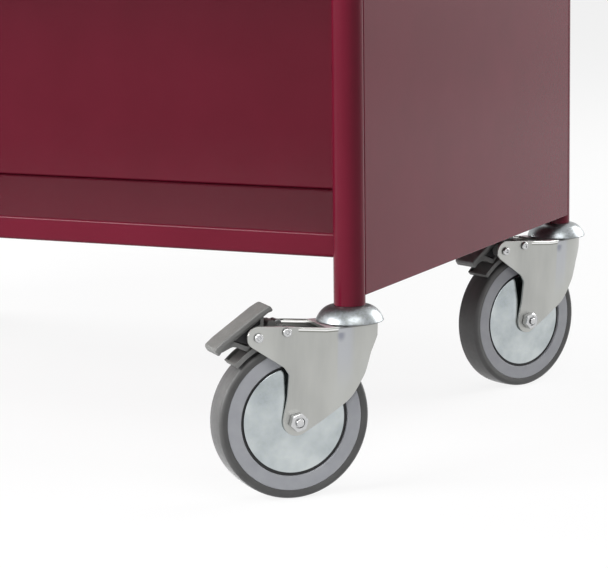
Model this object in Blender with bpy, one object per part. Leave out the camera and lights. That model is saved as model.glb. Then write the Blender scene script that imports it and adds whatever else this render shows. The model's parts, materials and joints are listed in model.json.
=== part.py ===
"""Double-sided library book trolley on four swivel castors.

A painted steel carcass: two end frames, each bent from one tube into an upside-down U whose top is
the push handle, with a flat end panel between its posts, three tray shelves and a centre partition.
Each post stands on a swivel castor with a grey rubber-tyred wheel. The two castors of the right-hand
end have a foot brake.

Metres, +Z up. The origin is on the floor under the middle of the trolley. +X runs along the shelves
to the braked end, and +Y runs from the front of the trolley to its back.
"""
import math

import bmesh
import bpy
from mathutils import Matrix, Vector

MM = 0.001

# Clearances between pieces that touch on the real trolley
SEAT_GAP = 0.3 * MM
RUNNING_GAP = 0.4 * MM

# Overall size of the carcass, outside the tubes
TROLLEY_LENGTH = 900 * MM
TROLLEY_DEPTH = 510 * MM
HANDLE_HEIGHT = 1080 * MM

# End frames and end panels
TUBE_DIAMETER = 25 * MM
TUBE_WALL = 1.5 * MM
HANDLE_BEND_RADIUS = 90 * MM
PANEL_SHEET = 1.2 * MM
PANEL_FOOT = 6.5 * MM
PANEL_HEAD = 6 * MM

# Tray shelves and the sheets that part the front from the back
SHELF_COUNT = 3
SHELF_LIP = 18 * MM
SHELF_SHEET = 1.2 * MM
SHELF_FOLD_RADIUS = 2.5 * MM
FIRST_SHELF_RISE = 53 * MM
TOP_SHELF_DROP = 257 * MM
PARTITION_SHEET = 1.0 * MM
PARTITION_FLANGE = 22 * MM
TOP_DIVIDER_HEIGHT = 60 * MM

# Wheel
WHEEL_DIAMETER = 125 * MM
TYRE_WIDTH = 26 * MM
TYRE_DEPTH = 7.5 * MM
TYRE_SHOULDER = 3.5 * MM
TYRE_BEAD = 2.6 * MM
RIM_WIDTH = 23.6 * MM
RIM_RING = 11.0 * MM
RIM_WEB = 8 * MM
DISC_RIM_GROOVE = 2.2 * MM
DISC_SHEET = 1.0 * MM
DISC_DOME = 1.6 * MM
DISC_FLAT = 2 * MM
HUB_DIAMETER = 30 * MM
BUSH_DIAMETER = 17 * MM
AXLE_DIAMETER = 8 * MM

# Castor: fork, swivel cup and stem
CASTOR_TRAIL = 51.5 * MM
CUP_HEIGHT = 14.8 * MM
CUP_DIAMETER = 53.4 * MM
CUP_WALL = 2.2 * MM
CUP_SHOULDER = 3.5 * MM
CUP_RIM = 2.5 * MM
FORK_SHEET = 2.0 * MM
FORK_SIDE_GAP = 1.1 * MM
FORK_CROWN_WIDTH = 43 * MM
FORK_FRONT_EDGE = 25.8 * MM
FORK_FRONT_DROP = 10 * MM
FORK_END_RADIUS = 11.5 * MM
FORK_NOSE_RADIUS = 9.4 * MM
FORK_PLATE_GAP = 3 * MM
FORK_BEND_GAP = 1.3 * MM
FORK_RAKE = math.radians(5.5)
FORK_END_ANGLES = (math.radians(240), math.radians(372))
FORK_NOSE_ANGLE = math.radians(-55)
KING_PIN_DIAMETER = 12 * MM
KING_PIN_FLANGE_DIAMETER = 22 * MM
KING_PIN_FLANGE = 3.6 * MM
STEM_LENGTH = 40 * MM
BALL_DIAMETER = 5.0 * MM
BALL_COUNT = 8
CAGE_WIDTH = 2.5 * MM
CAGE_HEIGHT = 1.25 * MM

# Outline of a fork cheek. The front points are a reach ahead of the post and a rise above the axle,
# and the back points are a reach behind the axle and a rise above it
CHEEK_NECK = (12.6 * MM, 50 * MM)
CHEEK_WAIST = (9.3 * MM, 32 * MM)
CHEEK_HEEL = (-11 * MM, 13.5 * MM)
CHEEK_CALF = (8.0 * MM, 18.5 * MM)
CHEEK_KNEE = (6.8 * MM, 37.5 * MM)
CHEEK_BELLY = (10.8 * MM, 43.5 * MM)
CHEEK_BACK = (8.0 * MM, 62 * MM)

# Axle bolt and nut
NUT_ACROSS_FLATS = 13 * MM
NUT_HEIGHT = 6.5 * MM
NUT_TURN = math.radians(15)
BOLT_END = 2.4 * MM

# Foot brake. Its two pins stand at these angles above the trail, seen from the axle
PEDAL_PIN_ANGLE = math.radians(64.8)
PEDAL_CLEARANCE = 4.6 * MM
PEDAL_TILT = math.radians(34.5)
PEDAL_INNER = 23.6 * MM
PEDAL_OUTER = 30.3 * MM
PEDAL_WIDTH = 25 * MM
PEDAL_SLAB = 4.6 * MM
PEDAL_EDGE_RADIUS = 1.8 * MM
PEDAL_RISE = 1.1 * MM
PEDAL_HUB_RADIUS = 5.6 * MM
PEDAL_HUB_WIDTH = 22 * MM
PEDAL_ARM = 2.6 * MM
PEDAL_ARM_INNER = 12.6 * MM
PEDAL_ARM_OUTER = 20 * MM
PEDAL_ARM_BITE = 1.5 * MM
PEDAL_ARM_INSET = 0.6 * MM
PEDAL_ARM_ROOT = (math.radians(-60), math.radians(20))
PEDAL_WEB = 3 * MM
SHOE_PIN_ANGLE = math.radians(82.6)
SHOE_HUB_RADIUS = 7.2 * MM
SHOE_HUB_BITE = 0.8 * MM
SHOE_RUNNING_GAP = 1.9 * MM
SHOE_SHEET = 1.4 * MM
SHOE_RIM = 2.4 * MM
SHOE_RIM_STEP = 0.4 * MM
SHOE_RIM_WALL = 1.8 * MM
SHOE_HUB_INSET = 0.8 * MM
SHOE_WIDTH = 25 * MM
SHOE_TOE_ANGLE = math.radians(42.5)
SHOE_RIM_ANGLE = math.radians(52)
PIN_DIAMETER = 5 * MM
PIN_HEAD_DIAMETER = 9 * MM
PIN_CROWN_DIAMETER = 5.4 * MM
PIN_HEAD = 1.6 * MM

# Smoothness
TUBE_SIDES = 16
BEND_STEPS = 5
WHEEL_STEPS = 24
ROUND_STEPS = 18
SMALL_STEPS = 10
DOME_STEPS = 4
FOLD_STEPS = 3
ARC_STEPS = 6
CROWN_STEPS = 3

# Which way each castor trails at rest, turned from +X about its post
CASTORS = {
    "front_right": {"side": 1, "row": -1, "turn": math.radians(226), "brake": True},
    "rear_right": {"side": 1, "row": 1, "turn": math.radians(243), "brake": True},
    "front_left": {"side": -1, "row": -1, "turn": math.radians(63), "brake": False},
    "rear_left": {"side": -1, "row": 1, "turn": math.radians(46), "brake": False},
}

# Places worked out from the sizes above
TUBE_RADIUS = TUBE_DIAMETER / 2
POST_X = TROLLEY_LENGTH / 2 - TUBE_RADIUS
POST_Y = TROLLEY_DEPTH / 2 - TUBE_RADIUS
WHEEL_RADIUS = WHEEL_DIAMETER / 2
AXLE_Z = WHEEL_RADIUS

# The brake's two pins, as reach along the trail and height above the floor. The shoe runs round the tread
# under its hub, and the pedal's hub clears the shoe
AXLE = Vector((CASTOR_TRAIL, AXLE_Z))
SHOE_INSIDE = WHEEL_RADIUS + SHOE_RUNNING_GAP
SHOE_OUTSIDE = SHOE_INSIDE + SHOE_SHEET
SHOE_PIN_RADIUS = SHOE_OUTSIDE - SHOE_HUB_BITE + SHOE_HUB_RADIUS
PEDAL_PIN_RADIUS = SHOE_OUTSIDE + PEDAL_CLEARANCE + PEDAL_HUB_RADIUS
SHOE_PIN = AXLE + SHOE_PIN_RADIUS * Vector((math.cos(SHOE_PIN_ANGLE), math.sin(SHOE_PIN_ANGLE)))
PEDAL_PIN = AXLE + PEDAL_PIN_RADIUS * Vector((math.cos(PEDAL_PIN_ANGLE), math.sin(PEDAL_PIN_ANGLE)))

# The crown is level under the cup, and bends up beyond it to run along the top of the nose
FORK_BEND = CUP_DIAMETER / 2 + FORK_BEND_GAP
NOSE_TOP = PEDAL_PIN + FORK_NOSE_RADIUS * Vector((-math.sin(FORK_RAKE), math.cos(FORK_RAKE)))
FORK_TOP = NOSE_TOP.y - (NOSE_TOP.x - FORK_BEND) * math.tan(FORK_RAKE)

# Heights up the trolley, from the fork's crown
POST_FOOT = FORK_TOP + CUP_HEIGHT
PANEL_BOTTOM = POST_FOOT + PANEL_FOOT
PANEL_TOP = HANDLE_HEIGHT - TUBE_RADIUS - HANDLE_BEND_RADIUS - PANEL_HEAD
PANEL_INSIDE = POST_X + TUBE_RADIUS - PANEL_SHEET
FIRST_SHELF = POST_FOOT + FIRST_SHELF_RISE
SHELF_PITCH = (HANDLE_HEIGHT - TOP_SHELF_DROP - FIRST_SHELF) / (SHELF_COUNT - 1)
SHELF_TOPS = [FIRST_SHELF + SHELF_PITCH * i for i in range(SHELF_COUNT)]

FINISHES = {
    "burgundy_paint": ((0.138, 0.0095, 0.023), 0.38, 0.0),
    "zinc_plate": ((0.53, 0.54, 0.51), 0.30, 1.0),
    "bright_zinc": ((0.62, 0.63, 0.64), 0.16, 1.0),
    "steel": ((0.45, 0.45, 0.46), 0.28, 1.0),
    "grey_rubber": ((0.12, 0.12, 0.118), 0.62, 0.0),
    "grey_nylon": ((0.32, 0.32, 0.34), 0.45, 0.0),
    "grey_plastic": ((0.22, 0.22, 0.21), 0.5, 0.0),
}


def finish(name, finish_name):
    """A material of the piece's own, in one of the trolley's finishes."""
    colour, roughness, metallic = FINISHES[finish_name]
    material = bpy.data.materials.new(name + "_" + finish_name)
    material.use_nodes = True
    shader = material.node_tree.nodes["Principled BSDF"]
    shader.inputs["Base Color"].default_value = (*colour, 1.0)
    shader.inputs["Roughness"].default_value = roughness
    shader.inputs["Metallic"].default_value = metallic
    return material


def mesh_from(bm, name):
    """Close a bmesh into a mesh of outward triangles."""
    bmesh.ops.remove_doubles(bm, verts=bm.verts, dist=1e-7)
    bmesh.ops.recalc_face_normals(bm, faces=bm.faces)
    bmesh.ops.triangulate(bm, faces=bm.faces)
    mesh = bpy.data.meshes.new(name)
    bm.to_mesh(mesh)
    bm.free()
    return mesh


def place(name, mesh, finish_name, parent=None, location=(0, 0, 0), smooth_angle=35):
    """Add a finished piece to the scene as its own named object."""
    piece = bpy.data.objects.new(name, mesh)
    bpy.context.scene.collection.objects.link(piece)
    piece.parent = parent
    piece.location = location
    mesh.materials.append(finish(name, finish_name))
    mesh.shade_smooth()
    mesh.set_sharp_from_angle(angle=math.radians(smooth_angle))
    return piece


def pivot(name, location, turn=0.0, parent=None):
    """An empty on a joint's axis, which the pieces that move there hang from."""
    empty = bpy.data.objects.new(name, None)
    bpy.context.scene.collection.objects.link(empty)
    empty.parent = parent
    empty.location = location
    empty.rotation_euler = (0, 0, turn)
    return empty


def combine(mesh, others, operation):
    """The exact union or difference of a mesh with a list of other meshes."""
    work = bpy.data.objects.new("work", mesh)
    bpy.context.scene.collection.objects.link(work)
    helpers = []
    for other in others:
        helper = bpy.data.objects.new("helper", other)
        bpy.context.scene.collection.objects.link(helper)
        helpers.append(helper)
        modifier = work.modifiers.new("combine", "BOOLEAN")
        modifier.operation = operation
        modifier.solver = "EXACT"
        modifier.object = helper
    depsgraph = bpy.context.evaluated_depsgraph_get()
    result = bpy.data.meshes.new_from_object(work.evaluated_get(depsgraph))
    for helper in [work] + helpers:
        bpy.data.objects.remove(helper)
    bm = bmesh.new()
    bm.from_mesh(result)
    bmesh.ops.dissolve_degenerate(bm, edges=bm.edges, dist=1e-6)
    return mesh_from(bm, "combined")


def solidified(bm, thickness):
    """Give a folded sheet its thickness, inwards from the faces that were drawn."""
    mesh = bpy.data.meshes.new("sheet")
    bm.to_mesh(mesh)
    bm.free()
    work = bpy.data.objects.new("work", mesh)
    bpy.context.scene.collection.objects.link(work)
    modifier = work.modifiers.new("thickness", "SOLIDIFY")
    modifier.thickness = thickness
    modifier.offset = -1
    modifier.use_even_offset = True
    depsgraph = bpy.context.evaluated_depsgraph_get()
    result = bpy.data.meshes.new_from_object(work.evaluated_get(depsgraph))
    bpy.data.objects.remove(work)
    bm = bmesh.new()
    bm.from_mesh(result)
    return mesh_from(bm, "sheet")


def turned_bmesh(profile, steps, axis="Z", start=0.0):
    """Turn a closed profile of (radius, along) points about an axis through the origin."""
    bm = bmesh.new()
    rings = []
    for radius, along in profile:
        ring = []
        for step in range(steps if radius > 0 else 1):
            angle = start + 2 * math.pi * step / steps
            a, b = radius * math.cos(angle), radius * math.sin(angle)
            point = (a, b, along) if axis == "Z" else (a, along, b)
            ring.append(bm.verts.new(point))
        rings.append(ring)
    for index, ring in enumerate(rings):
        following = rings[(index + 1) % len(rings)]
        if len(ring) == 1 and len(following) == 1:
            continue
        for step in range(steps):
            nearer = [ring[step % len(ring)], ring[(step + 1) % len(ring)]]
            farther = [following[(step + 1) % len(following)], following[step % len(following)]]
            corners = list(dict.fromkeys(nearer + farther))
            bm.faces.new(corners)
    return bm


def turned(profile, steps, axis="Z", start=0.0):
    return mesh_from(turned_bmesh(profile, steps, axis, start), "turned")


def extruded(outline, low, high):
    """Extrude an outline of (reach, height) points across the castor, from one side to the other."""
    bm = bmesh.new()
    corners = [bm.verts.new((u, low, z)) for u, z in outline]
    face = bm.faces.new(corners)
    made = bmesh.ops.extrude_face_region(bm, geom=[face])
    moved = [item for item in made["geom"] if isinstance(item, bmesh.types.BMVert)]
    bmesh.ops.translate(bm, verts=moved, vec=(0, high - low, 0))
    return mesh_from(bm, "extruded")


def arc(centre, radius, first, last, steps):
    """Points along an arc, from one angle to another, both ends included."""
    points = []
    for step in range(steps + 1):
        angle = first + (last - first) * step / steps
        points.append((centre[0] + radius * math.cos(angle), centre[1] + radius * math.sin(angle)))
    return points


def bore(radius, length, axis="Y", centre=(0, 0, 0)):
    """A drill for a round hole, along the axis and centred on a point."""
    mesh = turned([(0, -length / 2), (radius, -length / 2), (radius, length / 2), (0, length / 2)],
                  SMALL_STEPS, axis)
    mesh.transform(Matrix.Translation(centre))
    return mesh


def end_frame(name, side):
    """One tube bent into an upside-down U, with its bore open at both feet."""
    bend = HANDLE_BEND_RADIUS
    top = HANDLE_HEIGHT - TUBE_RADIUS
    path = [Vector((0, -POST_Y, POST_FOOT))]
    for centre_y, first in ((-POST_Y + bend, math.pi), (POST_Y - bend, math.pi / 2)):
        corner = arc((centre_y, top - bend), bend, first, first - math.pi / 2, BEND_STEPS)
        path += [Vector((0, y, z)) for y, z in corner]
    path.append(Vector((0, POST_Y, POST_FOOT)))
    bm = bmesh.new()
    shells = []
    for radius in (TUBE_RADIUS, TUBE_RADIUS - TUBE_WALL):
        rings = []
        for index, point in enumerate(path):
            before = path[max(index - 1, 0)]
            after = path[min(index + 1, len(path) - 1)]
            along = (after - before).normalized()
            if index in (0, len(path) - 1):
                along = Vector((0, 0, 1 if index == 0 else -1))
            across = Vector((1, 0, 0))
            normal = along.cross(across)
            ring = []
            for step in range(TUBE_SIDES):
                angle = 2 * math.pi * step / TUBE_SIDES
                ring.append(bm.verts.new(point + radius * (across * math.cos(angle)
                                                          + normal * math.sin(angle))))
            rings.append(ring)
        for ring, following in zip(rings, rings[1:]):
            for step in range(TUBE_SIDES):
                ahead = (step + 1) % TUBE_SIDES
                bm.faces.new((ring[step], ring[ahead], following[ahead], following[step]))
        shells.append(rings)
    for end in (0, -1):
        outer, inner = shells[0][end], shells[1][end]
        for step in range(TUBE_SIDES):
            ahead = (step + 1) % TUBE_SIDES
            bm.faces.new((outer[step], outer[ahead], inner[ahead], inner[step]))
    return place(name, mesh_from(bm, name), "burgundy_paint", location=(side * POST_X, 0, 0))


def end_panel(name, side):
    """A flat sheet between the two posts, flush with the outside of the tubes."""
    chord = math.sqrt(TUBE_RADIUS ** 2 - (TUBE_RADIUS - PANEL_SHEET) ** 2)
    half = POST_Y - chord - SEAT_GAP
    bm = bmesh.new()
    bmesh.ops.create_cube(bm, size=1.0)
    height = PANEL_TOP - PANEL_BOTTOM
    bmesh.ops.scale(bm, verts=bm.verts, vec=(PANEL_SHEET, 2 * half, height))
    centre = (side * (PANEL_INSIDE + PANEL_SHEET / 2), 0, PANEL_BOTTOM + height / 2)
    return place(name, mesh_from(bm, name), "burgundy_paint", location=centre)


def tray_shelf(name, top):
    """An upside-down tray: a flat top with a lip folded down on all four sides, cut back at the posts."""
    end = PANEL_INSIDE - SEAT_GAP
    front = POST_Y
    post_x = POST_X - TUBE_RADIUS - SEAT_GAP
    post_y = POST_Y - TUBE_RADIUS - SEAT_GAP
    corners = [(post_x, -front), (post_x, -post_y), (end, -post_y), (end, post_y), (post_x, post_y),
               (post_x, front), (-post_x, front), (-post_x, post_y), (-end, post_y), (-end, -post_y),
               (-post_x, -post_y), (-post_x, -front)]
    bm = bmesh.new()
    upper = [bm.verts.new((x, y, 0)) for x, y in corners]
    bm.faces.new(upper)
    folds = []
    for first, second in ((11, 0), (2, 3), (5, 6), (8, 9)):
        a, b = upper[first], upper[second]
        c = bm.verts.new(b.co - Vector((0, 0, SHELF_LIP)))
        d = bm.verts.new(a.co - Vector((0, 0, SHELF_LIP)))
        bm.faces.new((b, a, d, c))
        folds.append(bm.edges.get((a, b)))
    bmesh.ops.bevel(bm, geom=folds, offset=SHELF_FOLD_RADIUS, segments=FOLD_STEPS, profile=0.5,
                    affect="EDGES")
    mesh = solidified(bm, SHELF_SHEET)
    return place(name, mesh, "burgundy_paint", location=(0, 0, top))


def partition(name, low, high, foot_flange, head_flange):
    """A sheet down the middle of the trolley, folded over where it meets a shelf."""
    half = PANEL_INSIDE - SHELF_SHEET - SHELF_FOLD_RADIUS - 2 * SEAT_GAP
    section = [(0, low), (0, high)]
    if foot_flange:
        section.insert(0, (PARTITION_FLANGE, low))
    if head_flange:
        section.append((PARTITION_FLANGE, high))
    bm = bmesh.new()
    columns = []
    for y, z in section:
        columns.append((bm.verts.new((-half, y, z)), bm.verts.new((half, y, z))))
    for (a, b), (c, d) in zip(columns, columns[1:]):
        bm.faces.new((a, b, d, c))
    mesh = solidified(bm, PARTITION_SHEET)
    return place(name, mesh, "burgundy_paint")


def swivel_head(name, parent):
    """The domed cup over the ball race, with the stem that plugs into the post's foot and the flange
    that holds the fork up against its balls."""
    outer = CUP_DIAMETER / 2
    crown = TUBE_RADIUS + CUP_SHOULDER
    top = POST_FOOT - SEAT_GAP
    rim_low = FORK_TOP + SEAT_GAP
    race = FORK_TOP + BALL_DIAMETER + 2 * SEAT_GAP
    neck = KING_PIN_DIAMETER / 2
    flange_top = FORK_TOP - FORK_SHEET - SEAT_GAP
    flange_low = flange_top - KING_PIN_FLANGE
    plug = (TUBE_RADIUS - TUBE_WALL) * math.cos(math.pi / TUBE_SIDES) - SEAT_GAP
    high = POST_FOOT + STEM_LENGTH
    flange = KING_PIN_FLANGE_DIAMETER / 2
    profile = [(0, flange_low), (flange, flange_low), (flange, flange_top), (neck, flange_top),
               (neck, race), (outer - CUP_WALL, race), (outer - CUP_WALL, rim_low), (outer, rim_low)]
    rise = top - rim_low - CUP_RIM
    for step in range(DOME_STEPS + 1):
        angle = math.pi / 2 * step / DOME_STEPS
        profile.append((crown + (outer - crown) * math.cos(angle), top - rise + rise * math.sin(angle)))
    profile += [(plug, top), (plug, high), (0, high)]
    return place(name, turned(profile, ROUND_STEPS), "bright_zinc", parent)


def ball_race(name, parent):
    """The caged balls between the cup and the fork's crown."""
    ring = CUP_DIAMETER / 2 - CUP_WALL - BALL_DIAMETER / 2 - 2 * SEAT_GAP
    middle = FORK_TOP + SEAT_GAP + BALL_DIAMETER / 2
    inner, outer = ring - CAGE_WIDTH / 2, ring + CAGE_WIDTH / 2
    low, high = middle - CAGE_HEIGHT / 2, middle + CAGE_HEIGHT / 2
    cage = turned([(inner, low), (outer, low), (outer, high), (inner, high)], 2 * BALL_COUNT)
    bm = bmesh.new()
    for index in range(BALL_COUNT):
        angle = 2 * math.pi * (index + 0.5) / BALL_COUNT
        centre = Matrix.Translation((ring * math.cos(angle), ring * math.sin(angle), middle))
        bmesh.ops.create_icosphere(bm, subdivisions=1, radius=BALL_DIAMETER / 2, matrix=centre)
    mesh = combine(cage, [mesh_from(bm, "balls")], "UNION")
    return place(name, mesh, "steel", parent)


def crown_front():
    """How far the crown's round head reaches ahead of the post, to its short straight front edge."""
    return math.sqrt(FORK_CROWN_WIDTH ** 2 - FORK_FRONT_EDGE ** 2) / 2


def crown_back():
    """Where the crown's plate ends, short of the brake shoe's hub."""
    return SHOE_PIN.x - SHOE_HUB_RADIUS - FORK_PLATE_GAP


def crown_height(reach):
    """How high the crown stands over a point on the castor's middle line."""
    return FORK_TOP + max(reach - FORK_BEND, 0) * math.tan(FORK_RAKE)


def cheek_outline(braked):
    """The outline of a fork cheek, as (reach, height) points from the crown's front round to its back."""
    points = [(-crown_front(), FORK_TOP), (-crown_front(), FORK_TOP - FORK_FRONT_DROP)]
    points += [(-reach, AXLE_Z + rise) for reach, rise in (CHEEK_NECK, CHEEK_WAIST, CHEEK_HEEL)]
    points += arc(AXLE, FORK_END_RADIUS, *FORK_END_ANGLES, ARC_STEPS)
    back = [CHEEK_CALF, CHEEK_KNEE] + [CHEEK_BELLY if braked else CHEEK_BACK]
    points += [(CASTOR_TRAIL + reach, AXLE_Z + rise) for reach, rise in back]
    if braked:
        points += arc(PEDAL_PIN, FORK_NOSE_RADIUS, FORK_NOSE_ANGLE, math.pi / 2 + FORK_RAKE, ARC_STEPS)
    points += [(reach, crown_height(reach)) for reach in (crown_back(), FORK_BEND)]
    return points


def cheek_half(reach, height):
    """How far the outside of a cheek stands from the castor's middle plane."""
    axle_half = max(TYRE_WIDTH, RIM_WIDTH) / 2 + FORK_SIDE_GAP + FORK_SHEET
    share = (height - AXLE_Z) / (FORK_TOP - AXLE_Z)
    half = axle_half + (FORK_CROWN_WIDTH / 2 - axle_half) * max(share, 0)
    if reach < 0:
        half = math.sqrt(max(half ** 2 - reach ** 2, FORK_SHEET ** 2))
    return half


def fork(name, parent, braked):
    """One pressed sheet: a round-headed crown with a cheek folded down on each side of the wheel."""
    bm = bmesh.new()
    crown = []
    for side in (1, -1):
        corners = [bm.verts.new((u, 0, z)) for u, z in cheek_outline(braked)]
        face = bm.faces.new(corners)
        piece = [face] + list(face.edges) + list(face.verts)
        for step in range(CROWN_STEPS):
            cut = (-crown_front() * step / CROWN_STEPS, 0, 0)
            sliced = bmesh.ops.bisect_plane(bm, geom=piece, plane_co=cut, plane_no=(1, 0, 0))
            piece = sliced["geom"]
        cheek = [item for item in piece if isinstance(item, bmesh.types.BMVert)]
        edge = [v for v in cheek if v.co.x < crown_back() + 1e-6]
        edge = [v for v in edge if crown_height(v.co.x) - v.co.z < 1e-6]
        edge.sort(key=lambda v: v.co.x)
        crown.append(edge)
        for v in cheek:
            v.co.y = side * cheek_half(v.co.x, v.co.z)
    near, far = crown
    for index in range(len(near) - 1):
        bm.faces.new((near[index], near[index + 1], far[index + 1], far[index]))
    bmesh.ops.triangulate(bm, faces=bm.faces)
    bmesh.ops.recalc_face_normals(bm, faces=bm.faces)
    flattest = max(bm.faces, key=lambda f: abs(f.normal.z))
    if flattest.normal.z < 0:
        bmesh.ops.reverse_faces(bm, faces=bm.faces)
    sheet = solidified(bm, FORK_SHEET)
    through = 2 * FORK_CROWN_WIDTH
    drills = [bore(KING_PIN_DIAMETER / 2 + RUNNING_GAP, through, "Z", (0, 0, FORK_TOP)),
              bore(AXLE_DIAMETER / 2 + SEAT_GAP, through, "Y", (AXLE.x, 0, AXLE.y))]
    if braked:
        for pin in (PEDAL_PIN, SHOE_PIN):
            drills.append(bore(PIN_DIAMETER / 2 + SEAT_GAP, through, "Y", (pin.x, 0, pin.y)))
    mesh = combine(sheet, drills, "DIFFERENCE")
    return place(name, mesh, "zinc_plate", parent)


def axle_bolt(name, parent):
    """The bolt through both cheeks, with its head on the far side."""
    head = NUT_ACROSS_FLATS / 2 / math.cos(math.pi / 6)
    face = cheek_half(CASTOR_TRAIL, AXLE_Z + head) + SEAT_GAP
    radius = AXLE_DIAMETER / 2
    end = face + NUT_HEIGHT + BOLT_END
    root = -face - NUT_HEIGHT / 2
    shaft = turned([(0, root), (radius, root), (radius, end), (0, end)], SMALL_STEPS, "Y")
    cap = turned([(0, -face - NUT_HEIGHT), (head, -face - NUT_HEIGHT), (head, -face), (0, -face)],
                 6, "Y")
    return place(name, combine(shaft, [cap], "UNION"), "steel", parent)


def axle_nut(name, parent):
    """The hexagon nut on the bolt's near end."""
    corner = NUT_ACROSS_FLATS / 2 / math.cos(math.pi / 6)
    face = cheek_half(CASTOR_TRAIL, AXLE_Z + corner) + SEAT_GAP
    body = turned([(0, face), (corner, face), (corner, face + NUT_HEIGHT), (0, face + NUT_HEIGHT)],
                  6, "Y", NUT_TURN)
    mesh = combine(body, [bore(AXLE_DIAMETER / 2 + SEAT_GAP, 4 * face, "Y")], "DIFFERENCE")
    return place(name, mesh, "steel", parent)


def tyre(name, parent):
    """The rubber tyre. The flats between its steps lie at the wheel's true radius."""
    half = TYRE_WIDTH / 2
    seat = WHEEL_RADIUS - TYRE_DEPTH
    stretch = 1 / math.cos(math.pi / WHEEL_STEPS)
    shoulder = (WHEEL_RADIUS - TYRE_SHOULDER, TYRE_SHOULDER - half)
    side = [(seat, TYRE_BEAD - half), (seat + TYRE_BEAD, -half)]
    side += arc(shoulder, TYRE_SHOULDER, math.radians(-90), 0, 2)
    profile = side + [(r, -a) for r, a in reversed(side)]
    profile = [(r * stretch, a) for r, a in profile]
    return place(name, turned(profile, WHEEL_STEPS, "Y", math.pi / WHEEL_STEPS), "grey_rubber", parent)


def rim(name, parent):
    """The moulded wheel centre: a hub and a wide outer ring joined by a web."""
    outer = WHEEL_RADIUS - TYRE_DEPTH - SEAT_GAP
    ring = outer - RIM_RING
    hub = HUB_DIAMETER / 2
    hole = BUSH_DIAMETER / 2 + SEAT_GAP
    half = RIM_WIDTH / 2
    hub_half = half + DISC_DOME - DISC_SHEET - SEAT_GAP
    web = RIM_WEB / 2
    side = [(hole, hub_half), (hub, hub_half), (hub, web), (ring, web), (ring, half), (outer, half)]
    profile = side + [(r, -a) for r, a in reversed(side)]
    return place(name, turned(profile, WHEEL_STEPS, "Y", math.pi / WHEEL_STEPS), "grey_nylon", parent)


def wheel_disc(name, parent, side):
    """A thin domed steel disc that covers the web on one face, seated on the hub's end."""
    outer = WHEEL_RADIUS - TYRE_DEPTH - SEAT_GAP - RIM_RING - DISC_RIM_GROOVE
    hole = BUSH_DIAMETER / 2 + SEAT_GAP
    flat = HUB_DIAMETER / 2 + DISC_FLAT
    edge = RIM_WIDTH / 2
    seat = edge + DISC_DOME
    profile = [(hole, seat - DISC_SHEET), (flat, seat - DISC_SHEET), (outer, edge - DISC_SHEET),
               (outer, edge), (flat, seat), (hole, seat)]
    mesh = turned([(r, side * a) for r, a in profile], ROUND_STEPS, "Y")
    return place(name, mesh, "bright_zinc", parent)


def hub_bush(name, parent):
    """The sleeve that the wheel turns with, between the cheeks on the axle bolt."""
    half = cheek_half(CASTOR_TRAIL, AXLE_Z) - FORK_SHEET - RUNNING_GAP
    inner = AXLE_DIAMETER / 2 + RUNNING_GAP
    outer = BUSH_DIAMETER / 2
    profile = [(inner, -half), (outer, -half), (outer, half), (inner, half)]
    return place(name, turned(profile, SMALL_STEPS, "Y"), "steel", parent)


def brake_pin(name, parent, pin):
    """A rivet through both cheeks, which the pedal or the shoe turns on."""
    face = cheek_half(pin.x, pin.y + PIN_HEAD_DIAMETER / 2) + SEAT_GAP
    shaft, head, top = PIN_DIAMETER / 2, PIN_HEAD_DIAMETER / 2, PIN_CROWN_DIAMETER / 2
    profile = [(0, -face - PIN_HEAD), (top, -face - PIN_HEAD), (head, -face), (shaft, -face),
               (shaft, face), (head, face), (top, face + PIN_HEAD), (0, face + PIN_HEAD)]
    return place(name, turned(profile, SMALL_STEPS, "Y"), "steel", parent)


def brake_pedal(name, parent):
    """A foot plate on an arm and a web that rock on the outer pin. Drawn level, then tilted."""
    under = PEDAL_HUB_RADIUS + PEDAL_RISE
    half = PEDAL_WIDTH / 2
    ease = PEDAL_EDGE_RADIUS
    low, high = under + ease, under + PEDAL_SLAB - ease
    inner, outer = ease - PEDAL_INNER, PEDAL_OUTER - ease
    slab = []
    for quarter, centre in enumerate(((outer, low), (outer, high), (inner, high), (inner, low))):
        first = math.pi / 2 * (quarter - 1)
        slab += arc(centre, ease, first, first + math.pi / 2, 2)
    bite = under + PEDAL_ARM_BITE
    elbow = (PEDAL_ARM_OUTER, under - PEDAL_ARM)
    root = arc((0, 0), PEDAL_HUB_RADIUS - PEDAL_ARM / 2, *PEDAL_ARM_ROOT, 2)
    arm = root + [(PEDAL_ARM_OUTER - PEDAL_ARM, bite), (PEDAL_OUTER - PEDAL_SLAB, bite), elbow]
    web = [(-PEDAL_ARM_INNER, bite), (-PEDAL_ARM, 0), (PEDAL_ARM, 0), (PEDAL_ARM_OUTER, bite)]
    hub = arc((0, 0), PEDAL_HUB_RADIUS, 0, 2 * math.pi, SMALL_STEPS)[1:]
    mesh = extruded(slab, -half, half)
    for outline, width in ((arm, half - PEDAL_ARM_INSET), (web, PEDAL_WEB / 2), (hub, PEDAL_HUB_WIDTH / 2)):
        mesh = combine(mesh, [extruded(outline, -width, width)], "UNION")
    mesh = combine(mesh, [bore(PIN_DIAMETER / 2 + SEAT_GAP, 4 * half, "Y")], "DIFFERENCE")
    mesh.transform(Matrix.Rotation(PEDAL_TILT, 4, "Y"))
    return place(name, mesh, "grey_plastic", parent)


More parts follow.
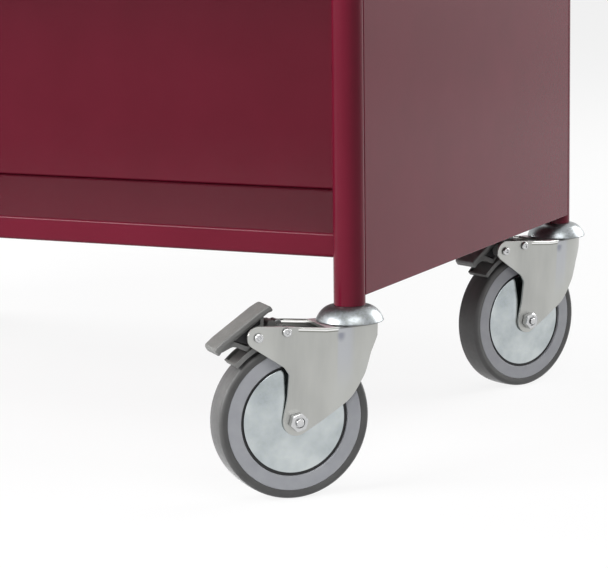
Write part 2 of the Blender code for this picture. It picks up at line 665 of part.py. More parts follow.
def brake_shoe(name, parent):
    """A curved shoe just above the tread, hung from the inner pin, with a raised rim at its open end."""
    axle = AXLE - SHOE_PIN
    half = SHOE_WIDTH / 2
    toe, heel = SHOE_TOE_ANGLE, SHOE_PIN_ANGLE
    plate = arc(axle, SHOE_INSIDE, toe, heel, ARC_STEPS) + arc(axle, SHOE_OUTSIDE, heel, toe, ARC_STEPS)
    step = SHOE_RIM_STEP
    rim_toe = toe + step / SHOE_OUTSIDE
    rim_plate = arc(axle, SHOE_INSIDE + step, rim_toe, SHOE_RIM_ANGLE, FOLD_STEPS)
    rim_plate += arc(axle, SHOE_OUTSIDE + SHOE_RIM, SHOE_RIM_ANGLE, rim_toe, FOLD_STEPS)
    edge = half - step
    rims = [extruded(rim_plate, side * edge, side * (edge - SHOE_RIM_WALL)) for side in (1, -1)]
    inset = half - SHOE_HUB_INSET
    hub = turned([(0, -inset), (SHOE_HUB_RADIUS, -inset), (SHOE_HUB_RADIUS, inset), (0, inset)],
                 SMALL_STEPS, "Y")
    mesh = combine(extruded(plate, -half, half), [hub], "UNION")
    for piece in rims:
        mesh = combine(mesh, [piece], "UNION")
    mesh = combine(mesh, [bore(PIN_DIAMETER / 2 + SEAT_GAP, 4 * half, "Y")], "DIFFERENCE")
    return place(name, mesh, "grey_plastic", parent)


def castor(place_name, side, row, turn, brake):
    """One swivel castor under its post: the cup and stem stay with the post, and the rest swivels."""
    swivel = pivot("swivel_" + place_name, (side * POST_X, row * POST_Y, 0), turn)
    swivel_head("swivel_head_" + place_name, swivel)
    ball_race("ball_race_" + place_name, swivel)
    fork("fork_" + place_name, swivel, brake)
    hub = pivot("axle_" + place_name, (AXLE.x, 0, AXLE.y), parent=swivel)
    axle_bolt("axle_bolt_" + place_name, hub)
    axle_nut("axle_nut_" + place_name, hub)
    tyre("tyre_" + place_name, hub)
    rim("rim_" + place_name, hub)
    wheel_disc("near_disc_" + place_name, hub, 1)
    wheel_disc("far_disc_" + place_name, hub, -1)
    hub_bush("hub_bush_" + place_name, hub)
    if brake:
        pedal_pivot = pivot("pedal_pivot_" + place_name, (PEDAL_PIN.x, 0, PEDAL_PIN.y), parent=swivel)
        brake_pin("pedal_pin_" + place_name, pedal_pivot, PEDAL_PIN)
        brake_pedal("brake_pedal_" + place_name, pedal_pivot)
        shoe_pivot = pivot("shoe_pivot_" + place_name, (SHOE_PIN.x, 0, SHOE_PIN.y), parent=swivel)
        brake_pin("shoe_pin_" + place_name, shoe_pivot, SHOE_PIN)
        brake_shoe("brake_shoe_" + place_name, shoe_pivot)


def carcass():
    """The welded steel body of the trolley."""
    for name, side in (("right", 1), ("left", -1)):
        end_frame("end_frame_" + name, side)
        end_panel("end_panel_" + name, side)
    for number, top in enumerate(SHELF_TOPS):
        tray_shelf("shelf_" + str(number + 1), top)
    for number, (low, high) in enumerate(zip(SHELF_TOPS, SHELF_TOPS[1:])):
        partition("partition_" + str(number + 1), low + SEAT_GAP, high - SHELF_SHEET - SEAT_GAP,
                  True, True)
    top = SHELF_TOPS[-1]
    partition("top_divider", top + SEAT_GAP, top + TOP_DIVIDER_HEIGHT, True, False)


def main():
    for item in list(bpy.data.objects):
        bpy.data.objects.remove(item)
    carcass()
    for place_name, settings in CASTORS.items():
        castor(place_name, **settings)


main()
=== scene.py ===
# %% [markdown]
# # Dressing a library book trolley
# The trolley is a welded steel carcass, painted burgundy, that rolls on four plated swivel castors. Its
# solids are already made and packed, with their joints. This lesson gives each solid the surface of the
# real piece. The first step loads those solids as a fixed frame. Everything made later is placed from this
# frame, in metres, so nothing has to be fitted by eye.

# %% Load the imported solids
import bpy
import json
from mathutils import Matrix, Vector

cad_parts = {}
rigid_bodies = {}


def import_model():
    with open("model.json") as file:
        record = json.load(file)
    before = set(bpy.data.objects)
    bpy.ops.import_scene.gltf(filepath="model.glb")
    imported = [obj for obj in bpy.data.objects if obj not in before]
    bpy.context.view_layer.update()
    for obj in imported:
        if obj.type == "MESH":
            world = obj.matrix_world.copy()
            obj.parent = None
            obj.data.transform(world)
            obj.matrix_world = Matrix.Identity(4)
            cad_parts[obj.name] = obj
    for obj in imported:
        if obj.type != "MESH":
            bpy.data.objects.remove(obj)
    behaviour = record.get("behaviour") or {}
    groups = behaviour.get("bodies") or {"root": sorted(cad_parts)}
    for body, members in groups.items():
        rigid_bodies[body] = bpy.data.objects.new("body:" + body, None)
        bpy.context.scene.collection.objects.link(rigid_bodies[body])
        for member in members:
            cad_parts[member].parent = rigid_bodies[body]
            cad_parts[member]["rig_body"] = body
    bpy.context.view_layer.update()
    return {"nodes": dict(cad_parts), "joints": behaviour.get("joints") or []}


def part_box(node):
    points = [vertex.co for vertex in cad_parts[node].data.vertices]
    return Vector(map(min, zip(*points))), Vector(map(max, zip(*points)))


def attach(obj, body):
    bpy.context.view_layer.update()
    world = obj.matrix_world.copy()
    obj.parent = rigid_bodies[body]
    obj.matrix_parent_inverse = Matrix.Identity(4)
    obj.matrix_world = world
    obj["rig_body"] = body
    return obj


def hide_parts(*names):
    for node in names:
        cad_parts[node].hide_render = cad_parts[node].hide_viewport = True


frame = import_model()

# %% [markdown]
# ## Units and joints
# Blender works in metres, but a trolley is drawn in millimetres. One named factor lets every size below read
# as it would on a drawing. The joints are looked up by name, because the castors are placed from them later.

# %% Bring in the modelling modules
import json
import math
import bmesh
import bpy
from mathutils import Matrix, Vector

MM = 0.001
joints = {joint["name"]: joint for joint in frame["joints"]}
print("joints:", len(joints))

# %% [markdown]
# ## Adding a piece
# A piece here is a mesh with one finish. It rides on the body that the solid belongs to, so it follows the
# joints, and it stands for that solid. Doing this in one function means that no piece can forget a step.
# Edges sharper than an angle stay crisp. Elsewhere weighted normals follow the large faces, so a flat sheet
# looks flat right up to its rounded edge.

# %% A function that adds a finished piece
SHARP_ANGLE = 38


def dress(name, mesh, finish, nodes, at=Matrix.Identity(4), sharp=SHARP_ANGLE):
    """Add a mesh as a piece that stands for solids, rides on their body and takes a slot's finish."""
    piece = bpy.data.objects.new(name, mesh)
    bpy.context.scene.collection.objects.link(piece)
    mesh.materials.clear()
    mesh.materials.append(finish)
    mesh.shade_smooth()
    mesh.set_sharp_from_angle(angle=math.radians(sharp))
    flat = piece.modifiers.new("flat", "WEIGHTED_NORMAL")
    flat.keep_sharp = True
    piece.matrix_world = at
    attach(piece, frame["nodes"][nodes[0]]["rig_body"])
    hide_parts(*nodes)


print("edges stay sharp above", SHARP_ANGLE, "degrees")

# %% [markdown]
# ## Lines with rounded corners
# Almost every outline on the trolley is straight runs joined by bends: the handle, the folded lips, the
# tyre's section. A list of corners with a radius each says that in the way a drawing does, and one function
# turns it into points. Drawing each arc by hand would give the same line, with many more numbers to keep
# right.


# %% Rounded lines and arcs
def arc(centre, radius, first, last, steps):
    """Points of an arc between two angles in degrees, both ends included."""
    angles = [math.radians(first + (last - first) * step / steps) for step in range(steps + 1)]
    return [(centre[0] + radius * math.cos(a), centre[1] + radius * math.sin(a)) for a in angles]


def eased(corners, steps=6, closed=True):
    """A line through corners given as (x, y) or (x, y, radius), with those that have a radius rounded."""
    points = []
    for index, corner in enumerate(corners):
        here = Vector(corner[:2])
        at_end = not closed and index in (0, len(corners) - 1)
        if len(corner) == 2 or at_end:
            points.append(here)
            continue
        back = (Vector(corners[index - 1][:2]) - here).normalized()
        ahead = (Vector(corners[(index + 1) % len(corners)][:2]) - here).normalized()
        half = back.angle(ahead) / 2
        centre = here + (back + ahead).normalized() * corner[2] / math.sin(half)
        first = here + back * corner[2] / math.tan(half) - centre
        last = here + ahead * corner[2] / math.tan(half) - centre
        sweep = math.copysign(first.angle(last), first.cross(last))
        points += [centre + Matrix.Rotation(sweep * step / steps, 2) @ first for step in range(steps + 1)]
    return [tuple(point) for point in points]


def in_mm(*corners):
    """Corners written in millimetres, as metres."""
    return [tuple(value * MM for value in corner) for corner in corners]


print("a square with one round corner has", len(eased([(0, 0), (1, 0), (1, 1, 0.2), (0, 1)])), "points")

# %% [markdown]
# ## Turning and extruding
# Two workshop operations make most of the pieces. Turning spins a section about an axis, as a lathe or a
# wheel mould does. Extruding pushes an outline across, and its rim is eased so that edges catch the light,
# as real ones do.


# %% Solids from outlines
def mesh_of(bm, name):
    """Close a bmesh into a mesh, with its faces pointing out."""
    bmesh.ops.remove_doubles(bm, verts=bm.verts, dist=1e-7)
    bmesh.ops.recalc_face_normals(bm, faces=bm.faces)
    mesh = bpy.data.meshes.new(name)
    bm.to_mesh(mesh)
    bm.free()
    return mesh


def turned(name, section, steps, axis):
    """Spin a section of (radius, along) points about an axis through the origin."""
    bm = bmesh.new()
    across = Vector((1, 0, 0))
    points = [bm.verts.new(across * radius + Vector(axis) * along) for radius, along in section]
    solid_core = section[0][0] == 0 and section[-1][0] == 0
    pairs = zip(points, points[1:] if solid_core else points[1:] + points[:1])
    edges = [bm.edges.new(pair) for pair in pairs]
    bmesh.ops.spin(bm, geom=points + edges, cent=(0, 0, 0), axis=axis, angle=math.tau, steps=steps,
                   use_merge=True)
    return mesh_of(bm, name)


def extruded(name, outline, low, high, plane="xz", ease=0.0, rounds=2):
    """Push an outline, drawn in a plane, from low to high across that plane, and ease its rim."""
    a, b = ("xyz".index(letter) for letter in plane)
    c = 3 - a - b
    bm = bmesh.new()
    corners = []
    for point in outline:
        place = Vector()
        place[a], place[b], place[c] = point[0], point[1], low
        corners.append(bm.verts.new(place))
    made = bmesh.ops.extrude_face_region(bm, geom=[bm.faces.new(corners)])
    push = Vector()
    push[c] = high - low
    moved = [item for item in made["geom"] if isinstance(item, bmesh.types.BMVert)]
    bmesh.ops.translate(bm, vec=push, verts=moved)
    if ease:
        rim = [e for e in bm.edges if abs(e.verts[0].co[c] - e.verts[1].co[c]) < 1e-9]
        bmesh.ops.bevel(bm, geom=rim, offset=ease, segments=rounds, profile=0.5, affect="EDGES")
    return mesh_of(bm, name)


sample = turned("sample", [(1, 0), (2, 0), (2, 1), (1, 1)], 12, (0, 0, 1))
print("a ring turned in 12 steps has", len(sample.polygons), "faces")
bpy.data.meshes.remove(sample)

# %% [markdown]
# ## Joining and thickening
# A moulding is often several lumps in one skin, and a Boolean union gives that. A folded sheet is easier to
# draw without thickness and to thicken afterwards. Both are modifiers, so one function applies either to a
# mesh and hands back the result, which keeps the finished piece a plain mesh.


# %% Apply a modifier to a mesh
def applied(mesh, kind, **settings):
    """The mesh with one modifier applied to it."""
    work = bpy.data.objects.new("work", mesh)
    bpy.context.scene.collection.objects.link(work)
    modifier = work.modifiers.new(kind.lower(), kind)
    for setting, value in settings.items():
        setattr(modifier, setting, value)
    depsgraph = bpy.context.evaluated_depsgraph_get()
    result = bpy.data.meshes.new_from_object(work.evaluated_get(depsgraph))
    bpy.data.objects.remove(work)
    return result


def combined(mesh, others, operation):
    """The union or the difference of a mesh and others, taken one at a time."""
    for other in others:
        helper = bpy.data.objects.new("helper", other)
        bpy.context.scene.collection.objects.link(helper)
        mesh = applied(mesh, "BOOLEAN", operation=operation, object=helper)
        bpy.data.objects.remove(helper)
    return mesh


def thickened(mesh, thickness):
    """The sheet with a thickness, laid on its inner side."""
    return applied(mesh, "SOLIDIFY", thickness=thickness, offset=-1, use_even_offset=True)


# %% [markdown]
# ## Building a finish from nodes
# A finish is a Principled shader with its plain values set on its own sockets. What varies over the surface,
# such as tone, gloss and the fine height of a coating, is fed by noise in the piece's own coordinates. Image
# textures could do this too, but noise has no seams and stays sharp at any distance. Noise seldom leaves its
# middle, so that part of it is spread over the whole range.

# %% Small functions for shader nodes
NOISE_LOW, NOISE_HIGH = 0.3, 0.7


def shader_of(material):
    """The Principled shader of a material."""
    return material.node_tree.nodes["Principled BSDF"]


def new_finish(name, **values):
    """A material whose Principled shader has these values. Underscores in a name stand for spaces."""
    material = bpy.data.materials.new(name)
    material.use_nodes = True
    for socket, value in values.items():
        shader_of(material).inputs[socket.replace("_", " ")].default_value = value
    return material


def feed(material, socket, value):
    """Link a node's output into a socket, or set the socket to a plain value."""
    if isinstance(value, bpy.types.NodeSocket):
        material.node_tree.links.new(value, socket)
    else:
        socket.default_value = value


def node(material, kind, inputs, output, **options):
    """Add a shader node with its options and inputs, and give back one of its outputs."""
    made = material.node_tree.nodes.new("ShaderNode" + kind)
    for option, value in options.items():
        setattr(made, option, value)
    for socket, value in inputs.items():
        feed(material, made.inputs[socket], value)
    return made.outputs[output]


def noise(material, per_metre, detail=2.0, stretch=(1, 1, 1)):
    """Noise with so many lumps in a metre of the piece, drawn out by dividing its scale along an axis."""
    where = node(material, "TexCoord", {}, "Object")
    where = node(material, "Mapping", {"Vector": where, "Scale": stretch}, "Vector")
    return node(material, "TexNoise", {"Vector": where, "Scale": per_metre, "Detail": detail}, "Fac")


def ranged(material, value, low, high):
    """Spread the middle of a noise between two values."""
    inputs = {"Value": value, "From Min": NOISE_LOW, "From Max": NOISE_HIGH, "To Min": low, "To Max": high}
    return node(material, "MapRange", inputs, "Result")


def toned(material, value, *colours):
    """Lay colours evenly along the middle of a noise."""
    scale = material.node_tree.nodes.new("ShaderNodeValToRGB")
    feed(material, scale.inputs["Fac"], value)
    stops = scale.color_ramp.elements
    while len(stops) < len(colours):
        stops.new(0.5)
    for index, colour in enumerate(colours):
        stops[index].position = NOISE_LOW + (NOISE_HIGH - NOISE_LOW) * index / (len(colours) - 1)
        stops[index].color = (*colour, 1.0)
    return scale.outputs["Color"]


def raised(material, height, depth, under=None):
    """A bump of a depth in metres, over another bump if there is one."""
    inputs = {"Height": height, "Distance": depth, "Strength": 1.0}
    if under is not None:
        inputs["Normal"] = under
    return node(material, "Bump", inputs, "Normal")


print("noise is spread from", NOISE_LOW, "to", NOISE_HIGH)

# %% [markdown]
# ## Burgundy powder coat
# The carcass is sprayed with powder and baked. That leaves an even, hard satin skin with orange peel:
# shallow lumps about two millimetres across that make every reflection tremble. Tone hardly varies, so the
# bump and the gloss do most of the work. The coat mirrors little, so its specular level is low.

# %% The paint of the carcass
PAINT_TONES = ((0.101, 0.0045, 0.0150), (0.113, 0.0055, 0.0178))
PEEL, PEEL_DEPTH = 420, 0.045 * MM
FINE_PEEL, FINE_PEEL_DEPTH = 1500, 0.005 * MM


def burgundy_paint():
    """Satin powder coat with orange peel."""
    paint = new_finish("burgundy_paint", IOR=1.45, Specular_IOR_Level=0.17)
    inputs = shader_of(paint).inputs
    feed(paint, inputs["Base Color"], toned(paint, noise(paint, 14, 3), *PAINT_TONES))
    feed(paint, inputs["Roughness"], ranged(paint, noise(paint, 320), 0.18, 0.24))
    peel = raised(paint, noise(paint, PEEL, 1), PEEL_DEPTH)
    feed(paint, inputs["Normal"], raised(paint, noise(paint, FINE_PEEL, 1), FINE_PEEL_DEPTH, peel))
    return paint


PAINT = burgundy_paint()
print("orange peel:", PEEL, "lumps in a metre")

# %% [markdown]
# ## Masks
# Painted shade, highlight and reflection on the fork belong at measured places, so they are placed by
# measured position. A mask is a number from 0 to 1 worked out from a place on the piece. Painting a mask by
# hand would also do, but a formula stays right when a size changes.


# %% Masks from positions
def ramp(material, value, none, full):
    """A mask that goes smoothly from 0 at one value to 1 at another."""
    inputs = {"Value": value, "From Min": none, "From Max": full}
    return node(material, "MapRange", inputs, "Result", interpolation_type="SMOOTHSTEP")


def both(material, first, *others):
    """The product of masks."""
    for other in others:
        first = node(material, "Math", {0: first, 1: other}, 0, operation="MULTIPLY")
    return first


def within(material, value, low, high, fade):
    """A mask that is 1 between two values and fades to 0 outside them."""
    return both(material, ramp(material, value, low - fade, low), ramp(material, value, high + fade, high))


def tinted(material, under, over, mask, strength):
    """Lay a colour over another where a mask is, up to a strength."""
    share = node(material, "Math", {0: mask, 1: strength}, 0, operation="MULTIPLY")
    return node(material, "MixRGB", {"Fac": share, "Color1": under, "Color2": (*over, 1)}, "Color")


print("mask functions:", [function.__name__ for function in (ramp, both, within, tinted)])

# %% [markdown]
# ## The fork's zinc plate
# The fork is pressed from sheet and zinc plated. It keeps a soft satin with faint clouds, because plating
# takes unevenly. Painted bluish shade darkens the bends, and a painted shade spot sits in the crook under the
# crown. Along the crown's edge the bead has a painted highlight over painted shade in the crease, painted
# shadow lies on the cheek beside the cup, and on top lies a pink painted reflection of the burgundy shelf,
# where the surface is also made hardly metal any more. The crown rises behind the cup, so these bands are
# measured from the raised edge.

# %% Satin zinc with its marks and painted light
FORK_BEND = 28 * MM
FORK_RAKE = math.tan(math.radians(5.5))
ZINC_TONES = ((0.39, 0.395, 0.38), (0.46, 0.465, 0.445), (0.50, 0.51, 0.495))
# Centre and squash of the painted shade spot in the crook under the crown
CROOK, CROOK_SQUASH = (15.8 * MM, 20.6 * MM, 89.9 * MM), (1, 1, 0.7)
EDGE_RUN = (19 * MM, 50.5 * MM, 1.5 * MM)
# Band of the painted highlight along the bead
HIGHLIGHT_BAND = (132.65 * MM, 133.55 * MM, 0.25 * MM)
# Band of the painted shade in the crease below the bead
CREASE_SHADE_BAND = (131.65 * MM, 132.15 * MM, 0.35 * MM)
# Band and run of the painted shadow that the cup casts on the cheek
CUP_SHADOW_BAND, CUP_SHADOW_RUN = (133.9 * MM, 135.0 * MM, 0.5 * MM), (19 * MM, 16 * MM)
# Level and run of the pink painted reflection of the burgundy shelf on the crown's top
SHELF_REFLECTION_LEVEL, SHELF_REFLECTION_RUN = (135.0 * MM, 135.2 * MM), (19 * MM, 24 * MM)
# How far the zinc is made less metallic under that painted reflection
SHELF_REFLECTION_MATTE = 0.8


def fork_marks_and_painted_light(zinc):
    """Rolling marks and painted light on the fork, each a mask, a colour and a strength, painted reflection
    last.
    """
    place = node(zinc, "TexCoord", {}, "Object")
    reach = node(zinc, "SeparateXYZ", {"Vector": place}, "X")
    height = node(zinc, "SeparateXYZ", {"Vector": place}, "Z")
    lines = within(zinc, noise(zinc, 420, 1, (1, 1, 0.015)), 0.56, 0.70, 0.05)
    # Painted shade: a bluish, darker band along the bend into the neck
    bend_shade = both(zinc, ramp(zinc, reach, 19.2 * MM, 17.6 * MM), ramp(zinc, reach, 2 * MM, 9 * MM),
                ramp(zinc, height, 78 * MM, 116 * MM))
    # Painted shade: a soft dark spot in the crook under the crown
    squashed = node(zinc, "VectorMath", {0: place, 1: CROOK_SQUASH}, "Vector", operation="MULTIPLY")
    distance = node(zinc, "VectorMath", {0: squashed, 1: CROOK}, "Value", operation="DISTANCE")
    crook_shade = both(zinc, ramp(zinc, distance, 4.8 * MM, 0.5 * MM), ramp(zinc, height, 131.4 * MM, 129.4 * MM))
    rake = node(zinc, "Math", {0: reach, 1: FORK_BEND}, 0, operation="SUBTRACT", use_clamp=True)
    level = node(zinc, "Math", {0: rake, 1: -FORK_RAKE, 2: height}, 0, operation="MULTIPLY_ADD")
    beside = within(zinc, reach, *EDGE_RUN)
    # Painted highlight: a near-white band along the bead
    painted_highlight = both(zinc, within(zinc, level, *HIGHLIGHT_BAND), beside)
    # Painted shade: a dark line in the crease below the bead
    crease_shade = both(zinc, within(zinc, level, *CREASE_SHADE_BAND), beside)
    # Painted shadow of the cup on the cheek just below it
    cup_shadow = both(zinc, within(zinc, level, *CUP_SHADOW_BAND), ramp(zinc, reach, *CUP_SHADOW_RUN))
    # Painted reflection: the pink of the burgundy shelf, laid on the crown's top
    shelf_reflection = both(zinc, ramp(zinc, level, *SHELF_REFLECTION_LEVEL), ramp(zinc, reach, *SHELF_REFLECTION_RUN))
    # Only the first tint, the rolling marks, is real; the other six are painted shade, highlight, shadow and
    # reflection
    return [(lines, (0.48, 0.48, 0.46), 0.12), (bend_shade, (0.44, 0.455, 0.50), 0.6),
            (crook_shade, (0.14, 0.15, 0.21), 0.55), (painted_highlight, (0.95, 0.95, 0.93), 0.9),
            (crease_shade, (0.16, 0.16, 0.14), 0.75), (cup_shadow, (0.10, 0.095, 0.09), 0.75),
            (shelf_reflection, (0.44, 0.31, 0.33), 0.9)]


def zinc_plate():
    """Zinc plate on pressed sheet, with clouds, rolling marks and the fork's painted shade, highlight and
    reflection.
    """
    zinc = new_finish("zinc_plate", Metallic=1.0)
    inputs = shader_of(zinc).inputs
    colour = toned(zinc, noise(zinc, 22, 3, (1, 1, 0.45)), *ZINC_TONES)
    marks_and_painted_light = fork_marks_and_painted_light(zinc)
    for mask, tint, strength in marks_and_painted_light:
        colour = tinted(zinc, colour, tint, mask, strength)
    feed(zinc, inputs["Base Color"], colour)
    # The zinc is also made less metallic under the pink painted reflection
    shelf_reflection = marks_and_painted_light[-1][0]
    metal_share = node(zinc, "Math", {0: shelf_reflection, 1: -SHELF_REFLECTION_MATTE, 2: 1.0}, 0, operation="MULTIPLY_ADD")
    feed(zinc, inputs["Metallic"], metal_share)
    feed(zinc, inputs["Roughness"], ranged(zinc, noise(zinc, 90, 3), 0.29, 0.36))
    rolling = raised(zinc, noise(zinc, 900, 2, (1, 1, 0.04)), 0.004 * MM)
    feed(zinc, inputs["Normal"], raised(zinc, noise(zinc, 40, 0), 0.015 * MM, rolling))
    return zinc


ZINC = zinc_plate()
print("zinc plate nodes:", len(ZINC.node_tree.nodes))

# %% [markdown]
# ## Bright plating and plain steel
# The wheel discs were smooth before plating, so they mirror more, and their plating shows as clouds of
# lighter and darker grey. The cup is duller from handling. Small turned parts are plain steel. Each kind is
# one function, called with its own tones, so that all plated parts share the same grain.


# %% Bright zinc, satin zinc and steel
def bright_zinc(name, dark, light, low, high, wave):
    """Smooth plating between two tones and two roughnesses, with a slow wave and a finer mottle."""
    zinc = new_finish(name, Metallic=1.0)
    inputs = shader_of(zinc).inputs
    colour = toned(zinc, noise(zinc, 45, 3), dark, light)
    specks = within(zinc, noise(zinc, 330, 4), 0.52, 0.62, 0.06)
    feed(zinc, inputs["Base Color"], tinted(zinc, colour, (0.50, 0.53, 0.60), specks, 0.16))
    feed(zinc, inputs["Roughness"], ranged(zinc, noise(zinc, 240, 4), low, high))
    mottle = raised(zinc, noise(zinc, 300, 3), wave * 0.5)
    feed(zinc, inputs["Normal"], raised(zinc, noise(zinc, 75, 3), wave, mottle))
    return zinc


def bright_steel(name, dark, light):
    """Turned steel between two tones."""
    steel = new_finish(name, Metallic=1.0)
    inputs = shader_of(steel).inputs
    feed(steel, inputs["Base Color"], toned(steel, noise(steel, 200, 3), dark, light))
    feed(steel, inputs["Roughness"], ranged(steel, noise(steel, 500, 3), 0.20, 0.27))
    feed(steel, inputs["Normal"], raised(steel, noise(steel, 1200, 2), 0.004 * MM))
    return steel


STEEL = bright_steel("steel", (0.52, 0.53, 0.54), (0.62, 0.62, 0.62))
GUNMETAL = bright_steel("gunmetal", (0.14, 0.15, 0.15), (0.20, 0.20, 0.20))
BRIGHT = bright_zinc("bright_zinc", (0.38, 0.42, 0.43), (0.56, 0.60, 0.60), 0.07, 0.12, 0.06 * MM)
SATIN = bright_zinc("satin_zinc", (0.21, 0.227, 0.23), (0.27, 0.283, 0.283), 0.33, 0.39, 0.02 * MM)
print("metal finishes:", [finish.name for finish in (ZINC, STEEL, GUNMETAL, BRIGHT, SATIN)])

# %% [markdown]
# ## Rubber and plastic
# The tyre is non-marking grey rubber, dull and slightly dusty: a little sheen lightens it where it turns
# away. The wheel centre and the brake are moulded plastic with a fine spark-eroded grain from the mould.


# %% Rubber, wheel centre and brake plastic
def grey_rubber():
    """Dull rubber with a dusty sheen."""
    rubber = new_finish("grey_rubber", Sheen_Weight=0.4, Sheen_Roughness=0.4)
    inputs = shader_of(rubber).inputs
    tone = toned(rubber, noise(rubber, 60, 4), (0.047, 0.0465, 0.0455), (0.060, 0.0595, 0.058))
    feed(rubber, inputs["Base Color"], tone)
    feed(rubber, inputs["Roughness"], ranged(rubber, noise(rubber, 300, 3), 0.46, 0.60))
    feed(rubber, inputs["Normal"], raised(rubber, noise(rubber, 1600, 3), 0.02 * MM))
    return rubber


def moulded(name, dark, light, low, high, grain):
    """Moulded plastic between two tones and two roughnesses, with a grain of some depth."""
    plastic = new_finish(name)
    inputs = shader_of(plastic).inputs
    feed(plastic, inputs["Base Color"], toned(plastic, noise(plastic, 80, 3), dark, light))
    feed(plastic, inputs["Roughness"], ranged(plastic, noise(plastic, 400, 2), low, high))
    feed(plastic, inputs["Normal"], raised(plastic, noise(plastic, 2200, 2), grain))
    return plastic


RUBBER = grey_rubber()
NYLON = moulded("grey_nylon", (0.295, 0.300, 0.320), (0.335, 0.340, 0.355), 0.40, 0.50, 0.010 * MM)
PLASTIC = moulded("grey_plastic", (0.129, 0.129, 0.124), (0.158, 0.158, 0.151), 0.42, 0.55, 0.020 * MM)
# A near-black finish for the pieces that stand in for shade: the pedal's core and the rings in the wheel
# grooves
SHADE_BLACK = moulded("painted_shade_black", (0.006, 0.006, 0.007), (0.011, 0.011, 0.012), 0.45, 0.60, 0.020 * MM)
print("finishes:", [material.name for material in bpy.data.materials if material.users])

# %% [markdown]
# ## End frames
# Each end is one length of steel tube, bent twice into an upside-down U whose top is the push handle. A
# curve with a round bevel is the quick way to a bent tube, but it has no bore. Here rings are carried along
# the bent line instead, an outer and an inner one, so the foot is open for the castor's stem. The foot
# reaches a little lower than its solid, down to the cup.

# %% Bent tubes
TUBE_WALL = 1.5 * MM
TUBE_SIDES = 48
HANDLE_BEND = 90 * MM
FOOT_DROP = 2 * MM


def tube(name, line, radii, sides):
    """A pipe along a line in the yz plane, with an outer and an inner radius."""
    bm = bmesh.new()
    shells = []
    path = [Vector((0, y, z)) for y, z in line]
    for radius in radii:
        rings = []
        for index, point in enumerate(path):
            along = path[min(index + 1, len(path) - 1)] - path[max(index - 1, 0)]
            across = Vector((1, 0, 0))
            up = along.normalized().cross(across)
            ring = []
            for side in range(sides):
                angle = math.tau * side / sides
                spoke = across * math.cos(angle) + up * math.sin(angle)
                ring.append(bm.verts.new(point + radius * spoke))
            rings.append(ring)
        shells.append(rings)
        for ring, following in zip(rings, rings[1:]):
            for side in range(sides):
                ahead = (side + 1) % sides
                bm.faces.new((ring[side], ring[ahead], following[ahead], following[side]))
    for end in (0, -1):
        for side in range(sides):
            ahead = (side + 1) % sides
            bm.faces.new((shells[0][end][side], shells[0][end][ahead],
                          shells[1][end][ahead], shells[1][end][side]))
    return mesh_of(bm, name)


for end in ("right", "left"):
    low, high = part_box("end_frame_" + end)
    tube_radius = (high.x - low.x) / 2
    post_y, handle_z = high.y - tube_radius, high.z - tube_radius
    foot_z = low.z - FOOT_DROP
    line = eased([(-post_y, foot_z), (-post_y, handle_z, HANDLE_BEND), (post_y, handle_z, HANDLE_BEND),
                  (post_y, foot_z)], steps=20, closed=False)
    mesh = tube("bent_tube_" + end, line, (tube_radius, tube_radius - TUBE_WALL), TUBE_SIDES)
    dress("bent_tube_" + end, mesh, PAINT, ["end_frame_" + end],
          Matrix.Translation(((low.x + high.x) / 2, 0, 0)))
print("bent tube: radius", round(tube_radius / MM, 2), "mm, posts at y =", round(post_y / MM, 1), "mm")

# %% [markdown]
# ## End panels
# A flat sheet closes each end between the posts, level with the outside of the tubes. Its edges were ground
# round before painting, and that thin round edge shows as a bright line beside the post. So the sheet is
# extruded from its outline with a wide ease on its rim. It laps a little into the tubes, where the weld
# closes the seam, so that no light comes through.

# %% Sheets between the posts
PANEL_CORNER = 0.8 * MM
PANEL_EDGE = 0.55 * MM
PANEL_LAP = 2.2 * MM
PANEL_DROP = 1 * MM
for end in ("right", "left"):
    low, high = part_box("end_panel_" + end)
    low -= Vector((0, PANEL_LAP, PANEL_DROP))
    high += Vector((0, PANEL_LAP, 0))
    outline = eased([(y, z, PANEL_CORNER) for y, z in
                     ((low.y, low.z), (high.y, low.z), (high.y, high.z), (low.y, high.z))])
    mesh = extruded("end_sheet_" + end, outline, low.x, high.x, "yz", PANEL_EDGE, 4)
    dress("end_sheet_" + end, mesh, PAINT, ["end_panel_" + end])
print("end sheet:", [round(size / MM, 1) for size in high - low], "mm")

# %% [markdown]
# ## Tray shelves
# A shelf is one sheet folded down on four sides, with its corners cut away for the posts. The front lip ends
# in a hem that turns back under, which keeps fingers off a raw edge. Each lip is a strip that follows the
# same rounded line, hung from one edge of the flat top, and the whole sheet is then thickened.

# %% Folded trays
SHELF_SHEET = 1.2 * MM
SHELF_FOLD = 1.8 * MM
# The fold's arc takes up nearly the whole corner, just short of it so that the line has no double point
FOLD_FILL = 0.999
HEM_RADIUS = 3 * MM
HEM_RETURN = 6 * MM
HEM_DROP = 1.2 * MM
SEAT_GAP = 0.3 * MM
# The four sides that carry a lip: the first and the last corner of each, and the way it faces
TRAY_SIDES = ((11, 0, (0, -1)), (2, 3, (1, 0)), (5, 6, (0, 1)), (8, 9, (-1, 0)))


